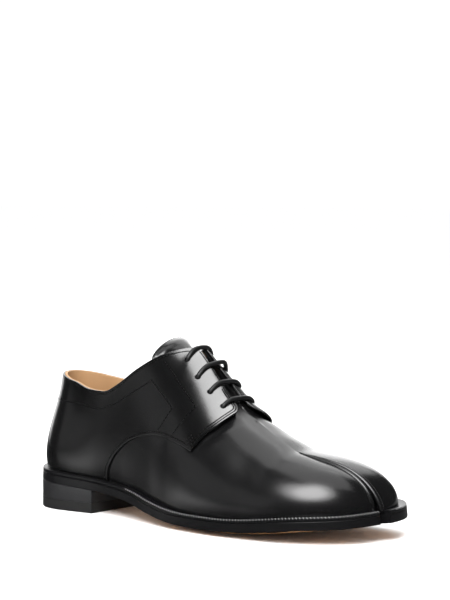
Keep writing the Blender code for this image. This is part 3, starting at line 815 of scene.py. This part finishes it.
def add_to(bm, part):
    """Moves one bmesh into another."""
    mesh = bpy.data.meshes.new("part")
    part.to_mesh(mesh)
    part.free()
    bm.from_mesh(mesh)
    bpy.data.meshes.remove(mesh)


def bead_row(bm, spots, turns, u_segments, v_segments):
    """Adds one bead, stretched and turned by its matrix, at each spot."""
    row = bmesh.new()
    lay = Matrix.Rotation(math.pi / 2, 4, "Y")
    segments = {"u_segments": u_segments, "v_segments": v_segments}
    for spot, turn in zip(spots, turns):
        stand = Matrix.Translation(in_row(spot)) @ turn @ lay
        bmesh.ops.create_uvsphere(row, radius=MM, matrix=stand, **segments)
    add_to(bm, row)


def sew(rows, raised, pitch=STITCH_PITCH, long=STITCH_LONG, wide=STITCH_WIDE):
    """Rows of stitches on the leather, each row given by its points and normals."""
    bm = bmesh.new()
    for points, normals in rows:
        spots, turns = [], []
        for spot, ahead, facing in zip(*spread(points, normals, pitch)):
            forward = Vector(ahead).normalized()
            across = Vector(facing).cross(forward).normalized()
            up = forward.cross(across)
            axes = (forward * long / 2, across * wide, up * wide * STITCH_FLAT)
            turns.append(Matrix(axes).transposed().to_4x4())
            spots.append(Vector(spot) + up * (raised + STITCH_SEAT))
        bead_row(bm, spots, turns, *STITCH_SEGMENTS)
    return bm


def groove(points, normals, raised):
    """The fine channel that a row of stitches lies in, drawn as a flat matte strip darker than the calf:
    painted shade for the channel's shadow.
    """
    p, n = np.array(points, float), np.array(normals, float)
    across = unit(np.cross(n, np.gradient(p, axis=0)))

    def place(row, column):
        return p[row] + n[row] * (raised + CHANNEL_SEAT) + across[row] * (column - 1) * CHANNEL_WIDE / 2

    return mapped_grid(len(p), 3, place)


def side_line(side, line):
    """A line drawn in side view on the leather of one side: points and normals."""
    lean = seam_lean(SIGN[side] * SIDE_REACH)
    return tuple(zip(*(surface_point(side, x + lean, z, 2) for x, z in line)))


def beside(line, distance):
    """A line drawn in side view, moved to its left by a distance."""
    d = unit(np.gradient(line, axis=0))
    return line + np.stack((-d[:, 1], d[:, 0]), 1) * distance


def seam_spot(side, value, axis):
    """Point and normal of the leather on the front seam, at a distance from the middle or a height."""

    def behind(x):
        return seam_side(surface_point(side, x, value, axis)[0]) > 0

    return surface_point(side, halve(*SEAM_RANGE, behind, SPOT_HALVINGS), value, axis)


def flap_row(side, inset, throat):
    """A line at an inset from a flap's edge: along the throat, if asked for, and down the front."""
    reach, count = FRONT_ROW
    front = [seam_spot(side, reach + k, 1) for k in range(count)]
    corner_z = front[-1][0][2]
    front += [seam_spot(side, z, 2) for z in np.arange(corner_z - FRONT_STEP, FRONT_LOW, -FRONT_STEP)]
    if throat:
        start, count = THROAT_ROW
        run = np.linspace(start, front[0][0][0], count, endpoint=False)
        front = [surface_point(side, x, section(min(x, FLAP_X))[COLUMN[side]], 1) for x in run] + front
    p, n = (np.array(values) for values in zip(*front))
    inward = unit(np.cross(np.gradient(p, axis=0), n) * -SIGN[side])
    moved = []
    for spot, normal in zip(p + inward * inset, n):
        steep = abs(normal[1]) > STEEP_SIDE
        value = spot[2] if steep else abs(off_middle(spot))
        moved.append(surface_point(side, spot[0], value, 2 if steep else 1))
    return tuple(zip(*moved))


def heel_row(side, high, low):
    """A line round the back of the heel, from one height at the back to another at the side."""
    row = []
    for turn in even(HEEL_STEPS):
        station = ("heel", 90.0 * turn)
        z = high + (low - high) * turn
        share = halve(0.0, 1.0, lambda t: rib_point(side, station, t)[2] < z)
        angle = math.radians(station[1])
        facing = (-math.cos(angle), SIGN[side] * math.sin(angle), 0.1)
        row.append((rib_point(side, station, share), np.array(facing)))
    return tuple(zip(*row))


def straight_line(corners, steps=6):
    """A line of straight runs between corners."""
    p = np.array(corners, float)
    runs = [p[i] + (p[i + 1] - p[i]) * k / steps for i in range(len(p) - 1) for k in range(steps)]
    return np.array(runs + [p[-1]])


thread = leather("black_thread", (0.02, 0.02, 0.02), roughness=0.4, grain=0.25, depth=0.03)
# A matte black darker than the calf: painted shade for the shadow in the stitch channels
painted_groove_shade = leather(
    "channel_painted_shade", (0.0015, 0.0015, 0.0015), roughness=0.9, grain=0.25, depth=0.02, shine=0.1
)
rows = []
for side in SIGN:
    arc = beside(seam_arc, ARC_INSET)
    rows.append(side_line(side, arc[(arc[:, 1] > ARC_LOW) & (arc[:, 0] < ARC_END)]))
    rows += [flap_row(side, *inset) for inset in FLAP_INSETS]
    collar = side_line(side, smooth_line(COLLAR_BAND))
    rows.append([a + b for a, b in zip(heel_row(side, *HEEL_ROW), collar)])
    rows += [side_line(side, straight_line(strap)) for strap in (BACK_STRAP, FRONT_STRAP)]
    rows += [side_line(side, straight_line(corners, 3)) for corners in TACK]
    edge = [(x, rib_point(side, ("x", x), 1.0)[2] - COLLAR_INSET) for x in np.linspace(*COLLAR_ROW)]
    rows.append(tuple(zip(*(surface_point(side, x, z, 2) for x, z in edge))))
seam_stitches = new_piece("seam_stitches", sew(rows, STITCH_RAISED), [thread], "black_calf")
# Painted shade: a darker matte strip under each row stands in for the shadow of its channel
bm = bmesh.new()
for row in rows:
    add_to(bm, groove(*row, STITCH_RAISED))
seam_channels = new_piece("seam_channels", bm, [painted_groove_shade], "black_calf")

# Tongue
# A long calf tongue with a tan lining, curled over the instep under the facings and sewn to
# the vamp. Its rounded top stands above the lace and has an edge row of stitches.
TONGUE_THICK = 1.6
TONGUE_TOP = 107.0
TONGUE_FOOT = 182.0
TONGUE_CORNER = 3.0
TONGUE_TUCK = 11.0
TUCK_FROM = 0.86
TONGUE_ROUND = 6
TUCK_X = (126.0, 116.0)
TONGUE_BLUR = 1.5
TONGUE_EDGE = 0.5
TONGUE_ROWS = 91
TONGUE_COLUMNS = 41
EDGE_ROW_DOWN = 0.022
EDGE_ROW_CORNER = 0.02
EDGE_ROW_SPAN = 0.92
TONGUE_LINE = (
    # x, z, half_out, half_in, lean, bow_out, bow_in, curl
    (107.0, 121.7, 22.2, 19.5, 9.0, 0.0148, 0.037, 0.0),
    (110.0, 121.7, 21.6, 19.5, 8.5, 0.0158, 0.037, 0.0),
    (114.0, 121.2, 19.4, 18.4, 6.0, 0.0220, 0.037, 0.0),
    (119.0, 119.6, 16.8, 16.8, 3.5, 0.0310, 0.040, 0.0004),
    (124.0, 117.0, 15.5, 15.5, 1.5, 0.0300, 0.034, 0.0018),
    (131.0, 112.8, 14.2, 14.2, 0.0, 0.0, 0.0, 0.0043),
    (137.0, 108.6, 14.0, 14.0, 0.0, 0.0, 0.0, 0.0043),
    (144.0, 103.4, 14.0, 14.0, 0.0, 0.0, 0.0, 0.0043),
    (151.0, 97.0, 14.5, 14.5, 0.0, 0.0, 0.0, 0.0043),
    (158.0, 89.6, 14.5, 14.5, 0.0, 0.0, 0.0, 0.0042),
    (165.0, 82.2, 14.5, 14.5, 0.0, 0.0, 0.0, 0.0040),
    (172.0, 76.0, 14.5, 14.5, 0.0, 0.0, 0.0, 0.0036),
    (182.0, 69.8, 13.5, 13.5, 0.0, 0.0, 0.0, 0.0030),
)
tongue_line = smooth_table(TONGUE_LINE, TONGUE_BLUR)


def tongue_point(run, across):
    """A point of the tongue's face: run 0 at its top and 1 at its foot, across -1 to 1."""
    start = TONGUE_TOP + TONGUE_CORNER * abs(across) ** TONGUE_ROUND
    x = start + (TONGUE_FOOT - start) * run
    _, z, half_out, half_in, lean, bow_out, bow_in, curl = tongue_line(x)
    y = across * (half_out if across < 0 else half_in)
    bow = bow_out if y < lean else bow_in
    slope = tongue_line(x + 0.5)[1] - tongue_line(x - 0.5)[1]
    normal = np.array((-slope, 0.0, 1.0)) / math.hypot(slope, 1.0)
    tuck = (max(0.0, abs(across) - TUCK_FROM) / (1 - TUCK_FROM)) ** 2
    tuck *= TONGUE_TUCK * ramp(x, *TUCK_X)
    face = np.array((x, middle(x)[2] + y, z - tuck - throat_dip(x, y)))
    return face - normal * (bow * (y - lean) ** 2 + curl * abs(y) ** 3)


def tongue_facing(run, across):
    """The normal of the tongue's face."""
    ahead = tongue_point(min(1.0, run + 0.01), across) - tongue_point(run, across)
    beside_it = tongue_point(run, min(1.0, across + 0.02)) - tongue_point(run, max(-1.0, across - 0.02))
    facing = np.cross(ahead, beside_it)
    return facing / np.linalg.norm(facing)


bm = mapped_grid(
    TONGUE_ROWS,
    TONGUE_COLUMNS,
    lambda row, column: tongue_point(row / (TONGUE_ROWS - 1), 2 * column / (TONGUE_COLUMNS - 1) - 1),
)
tongue = new_piece("lined_tongue", bm, [calf, lining_leather, calf], "black_calf", "tongue")
wall(tongue, TONGUE_THICK, -1.0)
round_edges(tongue, TONGUE_EDGE)
settle(tongue)
spots = [
    (EDGE_ROW_DOWN + EDGE_ROW_CORNER * abs(t) ** TONGUE_ROUND, EDGE_ROW_SPAN * t)
    for t in np.linspace(-1.0, 1.0, TONGUE_COLUMNS)
]
edge_row = [tongue_point(*spot) for spot in spots], [tongue_facing(*spot) for spot in spots]
new_piece("tongue_stitches", sew([edge_row], 0.0), [thread], "black_calf")

# Split rolls
# Each lobe's edge along the split is bound with a narrow roll of calf, sewn through the lobe
# and tucked into the split, so that the two lobes meet as soft round lips.
ROLL_THIN = 0.35
ROLL_TAPER = 0.25
# By side: share of the split's gap that the roll's radius takes, how far it lies in and how deep
ROLL_SET = {"outer": (0.45, 0.65, -0.1), "inner": (0.62, 0.3, 0.6)}
LIP_BEAD = 0.45
LIP_RAISED = 0.2
ROLL_BACK = 0.4
ROLL_START = 223.5
ROLL_STEPS = (4, 160, 70)
ROLL_SIDES = 14
LIP_SIDES = 8
LIP_ROW = 1.3
LIP_FROM = 0.4
LIP_LEAN = (0.25, 0.2, 0.5)
LIP_STITCH = {"pitch": 1.9, "long": 1.4, "wide": 0.24}
ROLL_ROW = slice(4, -12)


def close_ends(bm):
    """Fills the open ends of a tube."""
    bmesh.ops.holes_fill(bm, edges=[e for e in bm.edges if e.is_boundary], sides=0)
    bmesh.ops.recalc_face_normals(bm, faces=bm.faces)
    return bm


def tube(path, radii, sides):
    """A round cord along a line of points, with a radius at each."""
    p = np.array(path, float)
    d = unit(np.gradient(p, axis=0))
    side = np.cross(d[0], (1.0, 0.0, 0.0) if abs(d[0][0]) < 0.8 else (0.0, 0.0, 1.0))
    frames = []
    for k in range(len(p)):
        side = side - d[k] * np.dot(side, d[k])
        side = side / np.linalg.norm(side)
        frames.append((side, np.cross(d[k], side)))

    def place(row, column):
        angle = 2 * math.pi * column / sides
        a, b = frames[row]
        return p[row] + radii[row] * (a * math.cos(angle) + b * math.sin(angle))

    return close_ends(mapped_grid(len(p), sides + 1, place))


roll_marks = [m for m in stations(*ROLL_STEPS) if along(m, LEDGE) > ROLL_START]
lip_rows = []
for side, sign in SIGN.items():
    path, radii, lip, points, normals = [], [], [], [], []
    thick, inward, deep = ROLL_SET[side]
    ahead, aside, up = LIP_LEAN
    for m in roll_marks:
        x = along(m, LEDGE, side)
        _, _, shoulder, top = rib(side, m)
        far = (x - SPLIT_START) / (SOLE_TIP[side] - LEDGE - SPLIT_START)
        gap = split_gap(side, x, LEDGE, SPLIT_START, CLEFT_HALF_GAP)
        radius = ROLL_THIN + thick * gap * (1 - ROLL_TAPER * far)
        path.append(top + np.array((-ROLL_BACK * radius * far, -sign * inward * radius, -deep * radius)))
        radii.append(radius)
        lip.append(top + (0.0, 0.0, LIP_RAISED))
        reach = 3 * np.linalg.norm(top - shoulder)
        if reach > 4 * LIP_ROW:
            points.append(rib_point(side, m, 1 - LIP_ROW / reach))
            rise = points[-1][2] - rib_point(side, m, LIP_FROM)[2]
            normals.append((ahead * far, sign * aside, rise + up))
    new_piece(f"split_roll_{side}", tube(path, radii, ROLL_SIDES), [calf], "black_calf")
    lip_rows.append((points, normals))
    if side == "outer":
        new_piece("split_lip", tube(lip, [LIP_BEAD] * len(lip), LIP_SIDES), [calf], "black_calf")
        over = [spot + (0.0, 0.0, radius) for spot, radius in zip(path, radii)][ROLL_ROW]
        lip_rows.append((over, [(0.0, 0.0, 1.0)] * len(over)))
new_piece("split_stitches", sew(lip_rows, 0.0, **LIP_STITCH), [thread], "black_calf")

# Welt
# A narrow leather strip sewn to the upper all round and trimmed flush with the sole. It is inked black,
# and its top edge is wheeled with fine marks along the forefoot, coloured light grey as a painted glint.
WELT_LOW = 5.5
WELT_WIDTH = 7.5
SOLE_STEPS = (30, 110, 60)
# Its section, closed: inset from the sole's edge, height over the underside of the outsole
WELT_SECTION = (
    (WELT_WIDTH, WELT_LOW),
    (0.3, WELT_LOW),
    (0.0, WELT_LOW + 0.3),
    (0.0, WELT_TOP - 0.6),
    (0.17, WELT_TOP - 0.17),
    (0.6, WELT_TOP),
    (2.4, WELT_TOP + 0.05),
    (WELT_WIDTH, WELT_TOP),
    (WELT_WIDTH, WELT_LOW),
)
half_round = stations(*SOLE_STEPS)
welt_run = [("outer", m) for m in half_round[::-1]] + [("inner", m) for m in half_round[1:]]


def welt_place(row, column):
    side, mark = welt_run[row]
    inset, lift = WELT_SECTION[column]
    return bottom_point(side, mark, inset, 1.0, lift, SOLE_SLOT)


edge_leather = leather(
    "black_edge", (0.004, 0.004, 0.0045), roughness=0.34, grain=0.5, depth=0.012, shade=0.2, shine=0.3
)
bm = close_ends(mapped_grid(len(welt_run), len(WELT_SECTION), welt_place))
welt = new_piece("welt_strip", bm, [edge_leather], "edge_leather", "welt")
welt.data.set_sharp_from_angle(angle=SHARP_FOLD)

# The wheel's marks: half length, half width and half height, leaning out and forward
WHEEL_MARK = (0.8, 0.3, 0.36)
WHEEL_LEAN = (0.55, 0.83)
WHEEL_SEGMENTS = (8, 6)
WHEEL_PITCH = 2.3
WHEEL_INSET = 0.35
WHEEL_START = 96.0
WHEEL_END = 87.0
WHEEL_STEPS = (4, 200, 90)
bm = bmesh.new()
for side, sign in SIGN.items():
    path = []
    for m in stations(*WHEEL_STEPS):
        on_tip = m[0] == "toe" and m[1] > WHEEL_END
        if along(m, WHEEL_INSET, side) >= WHEEL_START and not on_tip:
            path.append(bottom_point(side, m, WHEEL_INSET, 1.0, WELT_TOP - WHEEL_INSET, SOLE_SLOT))
    ahead = np.gradient(np.array(path), axis=0)
    out = unit(np.stack((ahead[:, 1], -ahead[:, 0], np.zeros(len(path))), 1) * -sign)
    spots, turns = [], []
    for spot, forward, facing in zip(*spread(path, out + (0.0, 0.0, 1.0), WHEEL_PITCH)):
        over = Vector(facing).normalized()
        forward = Vector(forward).normalized()
        lean = forward * WHEEL_LEAN[0] + over.cross(forward) * WHEEL_LEAN[1] * sign
        lean.normalize()
        axes = [axis * size for axis, size in zip((lean, over.cross(lean), over), WHEEL_MARK)]
        turns.append(Matrix(axes).transposed().to_4x4())
        spots.append(spot)
    bead_row(bm, spots, turns, *WHEEL_SEGMENTS)
# The wheel marks are light grey: painted glints where black marks would catch the light
wheel_mark_painted_glint = leather("wheel_mark_painted_glint", (0.28, 0.28, 0.28), roughness=0.32, grain=0.3, depth=0.02)
new_piece("welt_stitches", bm, [wheel_mark_painted_glint], "edge_leather")

# Outsole
# One thick cut of brown sole leather, split at the toe, cemented and sewn to the welt. Its
# edge is inked and burnished black down to the tread.
SOLE_RIBS = 14
SOLE_ROUND = 0.4
TREAD_FACING = -0.97
tread_leather = leather(
    "brown_tread", (0.36, 0.19, 0.085), roughness=0.5, grain=1.2, depth=0.04, shade=0.25
)
bm = bottom_plate(0.0, 0.0, OUTSOLE_THICK, SOLE_SLOT, even(SOLE_RIBS), half_round)
outsole = new_piece("sole_leather", bm, [tread_leather, edge_leather], "sole_leather", "outsole")
round_edges(outsole, SOLE_ROUND)
settle(outsole)
for face in outsole.data.polygons:
    face.material_index = int(face.normal.z > TREAD_FACING)

# Heel
# A stack of leather lifts, trimmed to the sole's edge with a straight breast and inked black,
# on a rubber top lift that is nailed on.
HEEL_BREAST = 63.0
TOP_LIFT = 7.0
HEEL_ROWS = 28
HEEL_SIDE_ROWS = 10
HEEL_COLUMNS = 15
HEEL_EDGE = 0.3


def heel_block(low, high):
    """A slab of the heel between two heights over its plan."""
    first = SOLE_BACK + HEEL_ROUND
    marks = [("heel", 90.0 * i / HEEL_ROWS) for i in range(HEEL_ROWS)]
    marks += [("x", first + (HEEL_BREAST - first) * share) for share in even(HEEL_SIDE_ROWS)]

    def place(row, column):
        x = along(marks[row], 0.0)
        share = column / (HEEL_COLUMNS - 1)
        return (x, outline_y("outer", x, 0.0) * (1 - share) + outline_y("inner", x, 0.0) * share, low)

    def raise_point(v, x):
        v.co.z = high(x) * MM

    return thicken(mapped_grid(len(marks), HEEL_COLUMNS, place), raise_point)


heel_leather = leather(
    "black_heel", (0.016, 0.016, 0.017), roughness=0.36, grain=0.5, depth=0.01, shade=0.2
)
lift_rubber = leather(
    "top_lift_rubber", (0.014, 0.014, 0.014), roughness=0.55, grain=0.35, depth=0.02, shade=0.2
)
heel_slab = heel_block(TOP_LIFT, lambda x: sole_z(x, 0))
heel_stack = new_piece("heel_lifts", heel_slab, [heel_leather], "heel_leather", "heel_stack")
lift_slab = heel_block(0.0, lambda x: TOP_LIFT)
heel_top_lift = new_piece("rubber_lift", lift_slab, [lift_rubber], "lift_rubber", "heel_top_lift")
for block in (heel_stack, heel_top_lift):
    round_edges(block, HEEL_EDGE)
    settle(block)

# Lace
# A thin round waxed cotton lace in straight bars. Each bar comes up through one facing, lies
# over the throat and goes down through the other.
LACE_RADIUS = 1.6
LACE_SIDES = 14
LACE_DIVE = 4.0
LACE_REST = 1.6
LACE_OVER = 1.2
LACE_STEPS = 12
LACE_SMOOTH = 8
LACE_LOOP = {3: 2.4}
# Under and over the mouth of a hole; shares of the reach that a bar runs over; where it lifts
LACE_MOUTH = (1.2, 0.7)
LACE_RUN = (0.93, 0.33)
LACE_LIFT = (0.0, 0.3)
LOOP_SPAN = 1.05
lace_cord = leather("waxed_lace", (0.006, 0.006, 0.0065), roughness=0.42, grain=0.45, depth=0.06)


def lace_line(x, reaches, loop):
    """The line of a bar from hole to hole, low over both facings; a loop stands off the inner one."""
    under, over = LACE_MOUTH
    ends, run = [], []
    for side, reach in zip(SIGN, reaches):
        hole, normal = surface_point(side, x, reach, 1)
        ends.append([hole - normal * LACE_DIVE, hole - normal * under, hole + normal * over])
        for share in np.linspace(*LACE_RUN, LACE_STEPS):
            point, normal = surface_point(side, x, reach * share, 1)
            lift = LACE_REST + LACE_OVER * ramp(1 - share, *LACE_LIFT)
            if side == "inner":
                lift += loop * math.sin(math.pi * min(1.0, share * LOOP_SPAN)) ** 2
            run.append((share * SIGN[side], point + normal * lift))
    run = [point for _, point in sorted(run, key=lambda item: item[0])]
    for _ in range(LACE_SMOOTH):
        run = [run[0]] + [(a + b * 2 + c) / 4 for a, b, c in zip(run, run[1:], run[2:])] + [run[-1]]
    return smooth_line(ends[0] + run + ends[1][::-1], 3)


for number, (x, *reaches) in enumerate(EYELETS, 1):
    line = lace_line(x, reaches, LACE_LOOP.get(number, 0.0))
    bar = tube(line, [LACE_RADIUS] * len(line), LACE_SIDES)
    new_piece(f"lace_{number}", bar, [lace_cord], "waxed_cord", f"lace_bar_{number}")

# Stage
# A pale studio: white floor and wall, soft boxes over the toe, above, behind and at the heel.
# One box lights the facings only. The camera stands low in front of the outer side.
FLOOR_SIZE = 20.0
PAPER_WHITE = (0.97, 0.97, 0.97, 1.0)
PAPER_ROUGHNESS = 0.9
# Painted reflection: shiny leather sees the paper as the studio's dark and bright sides, everything else
# sees it white
FLOOR_PAINTED_REFLECTION = (
    (0.0, 0.02), (0.075, 0.02), (0.115, 0.6), (0.15, 0.6), (0.2, 0.25), (0.26, 0.08),
    (0.3, 0.02), (0.5, 0.02), (0.65, 0.1), (0.8, 0.5), (0.95, 0.1), (1.0, 0.02),
)
# Painted shade in the reflected paper, by distance from the shoe's middle in metres: dark next to the
# shoe as its contact shadow, brightest at 0.2 m, dimmer further out
FLOOR_PAINTED_SHADE = ((0.09, 0.3), (0.2, 1.0), (0.5, 0.45))


def tone_ramp(tree, rows, fac):
    """A ramp of grey tones at positions, read at the value of a socket."""
    tones = tree.nodes.new("ShaderNodeValToRGB")
    while len(tones.color_ramp.elements) < len(rows):
        tones.color_ramp.elements.new(0.5)
    for element, (position, tone) in zip(tones.color_ramp.elements, rows):
        element.position = position
        element.color = (tone, tone, tone, 1.0)
    tree.links.new(fac, tones.inputs["Fac"])
    return tones.outputs["Color"]


floor_paper = bpy.data.materials.new("floor_paper")
floor_paper.use_nodes = True
tree = floor_paper.node_tree
paper = tree.nodes["Principled BSDF"]
paper.inputs["Roughness"].default_value = PAPER_ROUGHNESS
paper.inputs["Specular IOR Level"].default_value = 0.0
place_on = add_node(tree, "TexCoord")["Object"]
turn = add_node(tree, "TexGradient", None, {"Vector": place_on}, gradient_type="RADIAL")["Fac"]
away = add_node(tree, "VectorMath", None, {0: place_on}, operation="LENGTH")["Value"]
tones = {0: tone_ramp(tree, FLOOR_PAINTED_REFLECTION, turn), 1: tone_ramp(tree, FLOOR_PAINTED_SHADE, away)}
mirrored = add_node(tree, "VectorMath", None, tones, operation="MULTIPLY")["Vector"]
# Only glossy rays see the painted reflection and shade; the camera and soft light see plain white
seen = {"B": mirrored, "Factor": add_node(tree, "LightPath")["Is Glossy Ray"]}
paper_tone = add_node(tree, "Mix", {"A": PAPER_WHITE}, seen, data_type="RGBA")["Result"]
tree.links.new(paper_tone, paper.inputs["Base Color"])
bm = bmesh.new()
bmesh.ops.create_grid(bm, x_segments=1, y_segments=1, size=FLOOR_SIZE)
floor = bare_object("floor", bm, [floor_paper])

LIGHT_TARGET = Vector((0.02, 0.0, 0.05))
# Name, azimuth and elevation in degrees, distance, width, height, radiance, shape
SOFT_BOXES = (
    ("key_box", -66, 48, 1.3, 1.3, 1.15, 3.6, "ELLIPSE"),
    ("key_core", -66, 47, 1.28, 0.85, 0.75, 5.0, "ELLIPSE"),
    ("facing_box", 16, 81.7, 1.3, 1.2, 1.04, 9.5, "RECTANGLE"),
    ("top_box", 60, 82, 1.6, 1.8, 1.4, 1.3, "RECTANGLE"),
    ("back_box", 140, 12, 2.2, 2.6, 1.2, 2.2, "RECTANGLE"),
    ("rim_box", 121, 42, 2.0, 1.6, 1.1, 1.4, "RECTANGLE"),
    ("side_fill", -125, 14, 2.0, 1.6, 0.8, 0.3, "RECTANGLE"),
)
WASH_STRENGTH = 1.8
WASH_SPREAD = math.radians(70)
WASH_TILT = (math.radians(-20), math.radians(-8), 0.0)


def toward(azimuth, elevation):
    """A direction from angles in degrees, the azimuth from +X round to +Y."""
    a, e = math.radians(azimuth), math.radians(elevation)
    return Vector((math.cos(e) * math.cos(a), math.cos(e) * math.sin(a), math.sin(e)))


def soft_box(name, azimuth, elevation, distance, width, height, radiance, shape):
    """A flat soft light that looks at the shoe."""
    light = bpy.data.lights.new(name, "AREA")
    light.shape = shape
    light.size = width
    light.size_y = height
    light.energy = radiance * math.pi * width * height
    lamp = bpy.data.objects.new(name, light)
    away = toward(azimuth, elevation)
    turn = away.to_track_quat("Z", "Y").to_matrix().to_4x4()
    lamp.matrix_world = Matrix.Translation(LIGHT_TARGET + away * distance) @ turn
    bpy.context.scene.collection.objects.link(lamp)
    return lamp


def light_only(lamp, name, pieces, state):
    """Keeps a light to some pieces, or off them."""
    group = bpy.data.collections.new(name)
    for piece in pieces:
        group.objects.link(piece)
    for entry in group.collection_objects:
        entry.light_linking.link_state = state
    lamp.light_linking.receiver_collection = group


lamps = {name: soft_box(name, *values) for name, *values in SOFT_BOXES}
for name in ("key_box", "key_core"):
    light_only(lamps[name], f"{name}_off", [quarters, seam_stitches, seam_channels], "EXCLUDE")
light_only(lamps["facing_box"], "facing_box_on", [quarters], "INCLUDE")
wash = bpy.data.lights.new("floor_wash", "SUN")
wash.energy = WASH_STRENGTH
wash.angle = WASH_SPREAD
floor_wash = bpy.data.objects.new("floor_wash", wash)
floor_wash.rotation_euler = WASH_TILT
bpy.context.scene.collection.objects.link(floor_wash)
light_only(floor_wash, "floor_wash_on", [floor], "INCLUDE")

# Strength of the wall for soft light, for shiny leather and for the camera
WALL_SOFT = 0.5
WALL_MIRRORED = 0.03
WALL_SEEN = 1.08
world = bpy.data.worlds.new("studio")
bpy.context.scene.world = world
world.use_nodes = True
tree = world.node_tree
backdrop = tree.nodes["Background"]
backdrop.inputs["Color"].default_value = (1.0, 1.0, 1.0, 1.0)
ray = add_node(tree, "LightPath")
dim = {"A": WALL_SOFT, "B": WALL_MIRRORED}
dim_wall = add_node(tree, "Mix", dim, {"Factor": ray["Is Glossy Ray"]}, data_type="FLOAT")["Result"]
seen = {"A": dim_wall, "Factor": ray["Is Camera Ray"]}
wall_tone = add_node(tree, "Mix", {"B": WALL_SEEN}, seen, data_type="FLOAT")["Result"]
tree.links.new(wall_tone, backdrop.inputs["Strength"])

VIEW_AZIMUTH = -50.0
VIEW_ELEVATION = 7.5
VIEW_DISTANCE = 1.4
VIEW_CENTRE = Vector((0.00625, 0.00076, 0.04))
VIEW_RIGHT = 0.0051
VIEW_UP = 0.1092
back = toward(VIEW_AZIMUTH, VIEW_ELEVATION)
right = toward(VIEW_AZIMUTH + 90.0, 0.0)
lens = bpy.data.cameras.new("camera")
lens.sensor_width = 36.0
lens.lens = 124.5
lens.clip_end = 100.0
camera = bpy.data.objects.new("camera", lens)
eye = VIEW_CENTRE + back * VIEW_DISTANCE
aim = VIEW_CENTRE + right * VIEW_RIGHT + back.cross(right) * VIEW_UP
camera.matrix_world = Matrix.Translation(eye) @ (aim - eye).to_track_quat("-Z", "Y").to_matrix().to_4x4()
bpy.context.scene.collection.objects.link(camera)
bpy.context.scene.camera = camera
bpy.context.scene.view_settings.view_transform = "Standard"

bpy.data.objects.remove(punch)
bpy.context.view_layer.update()
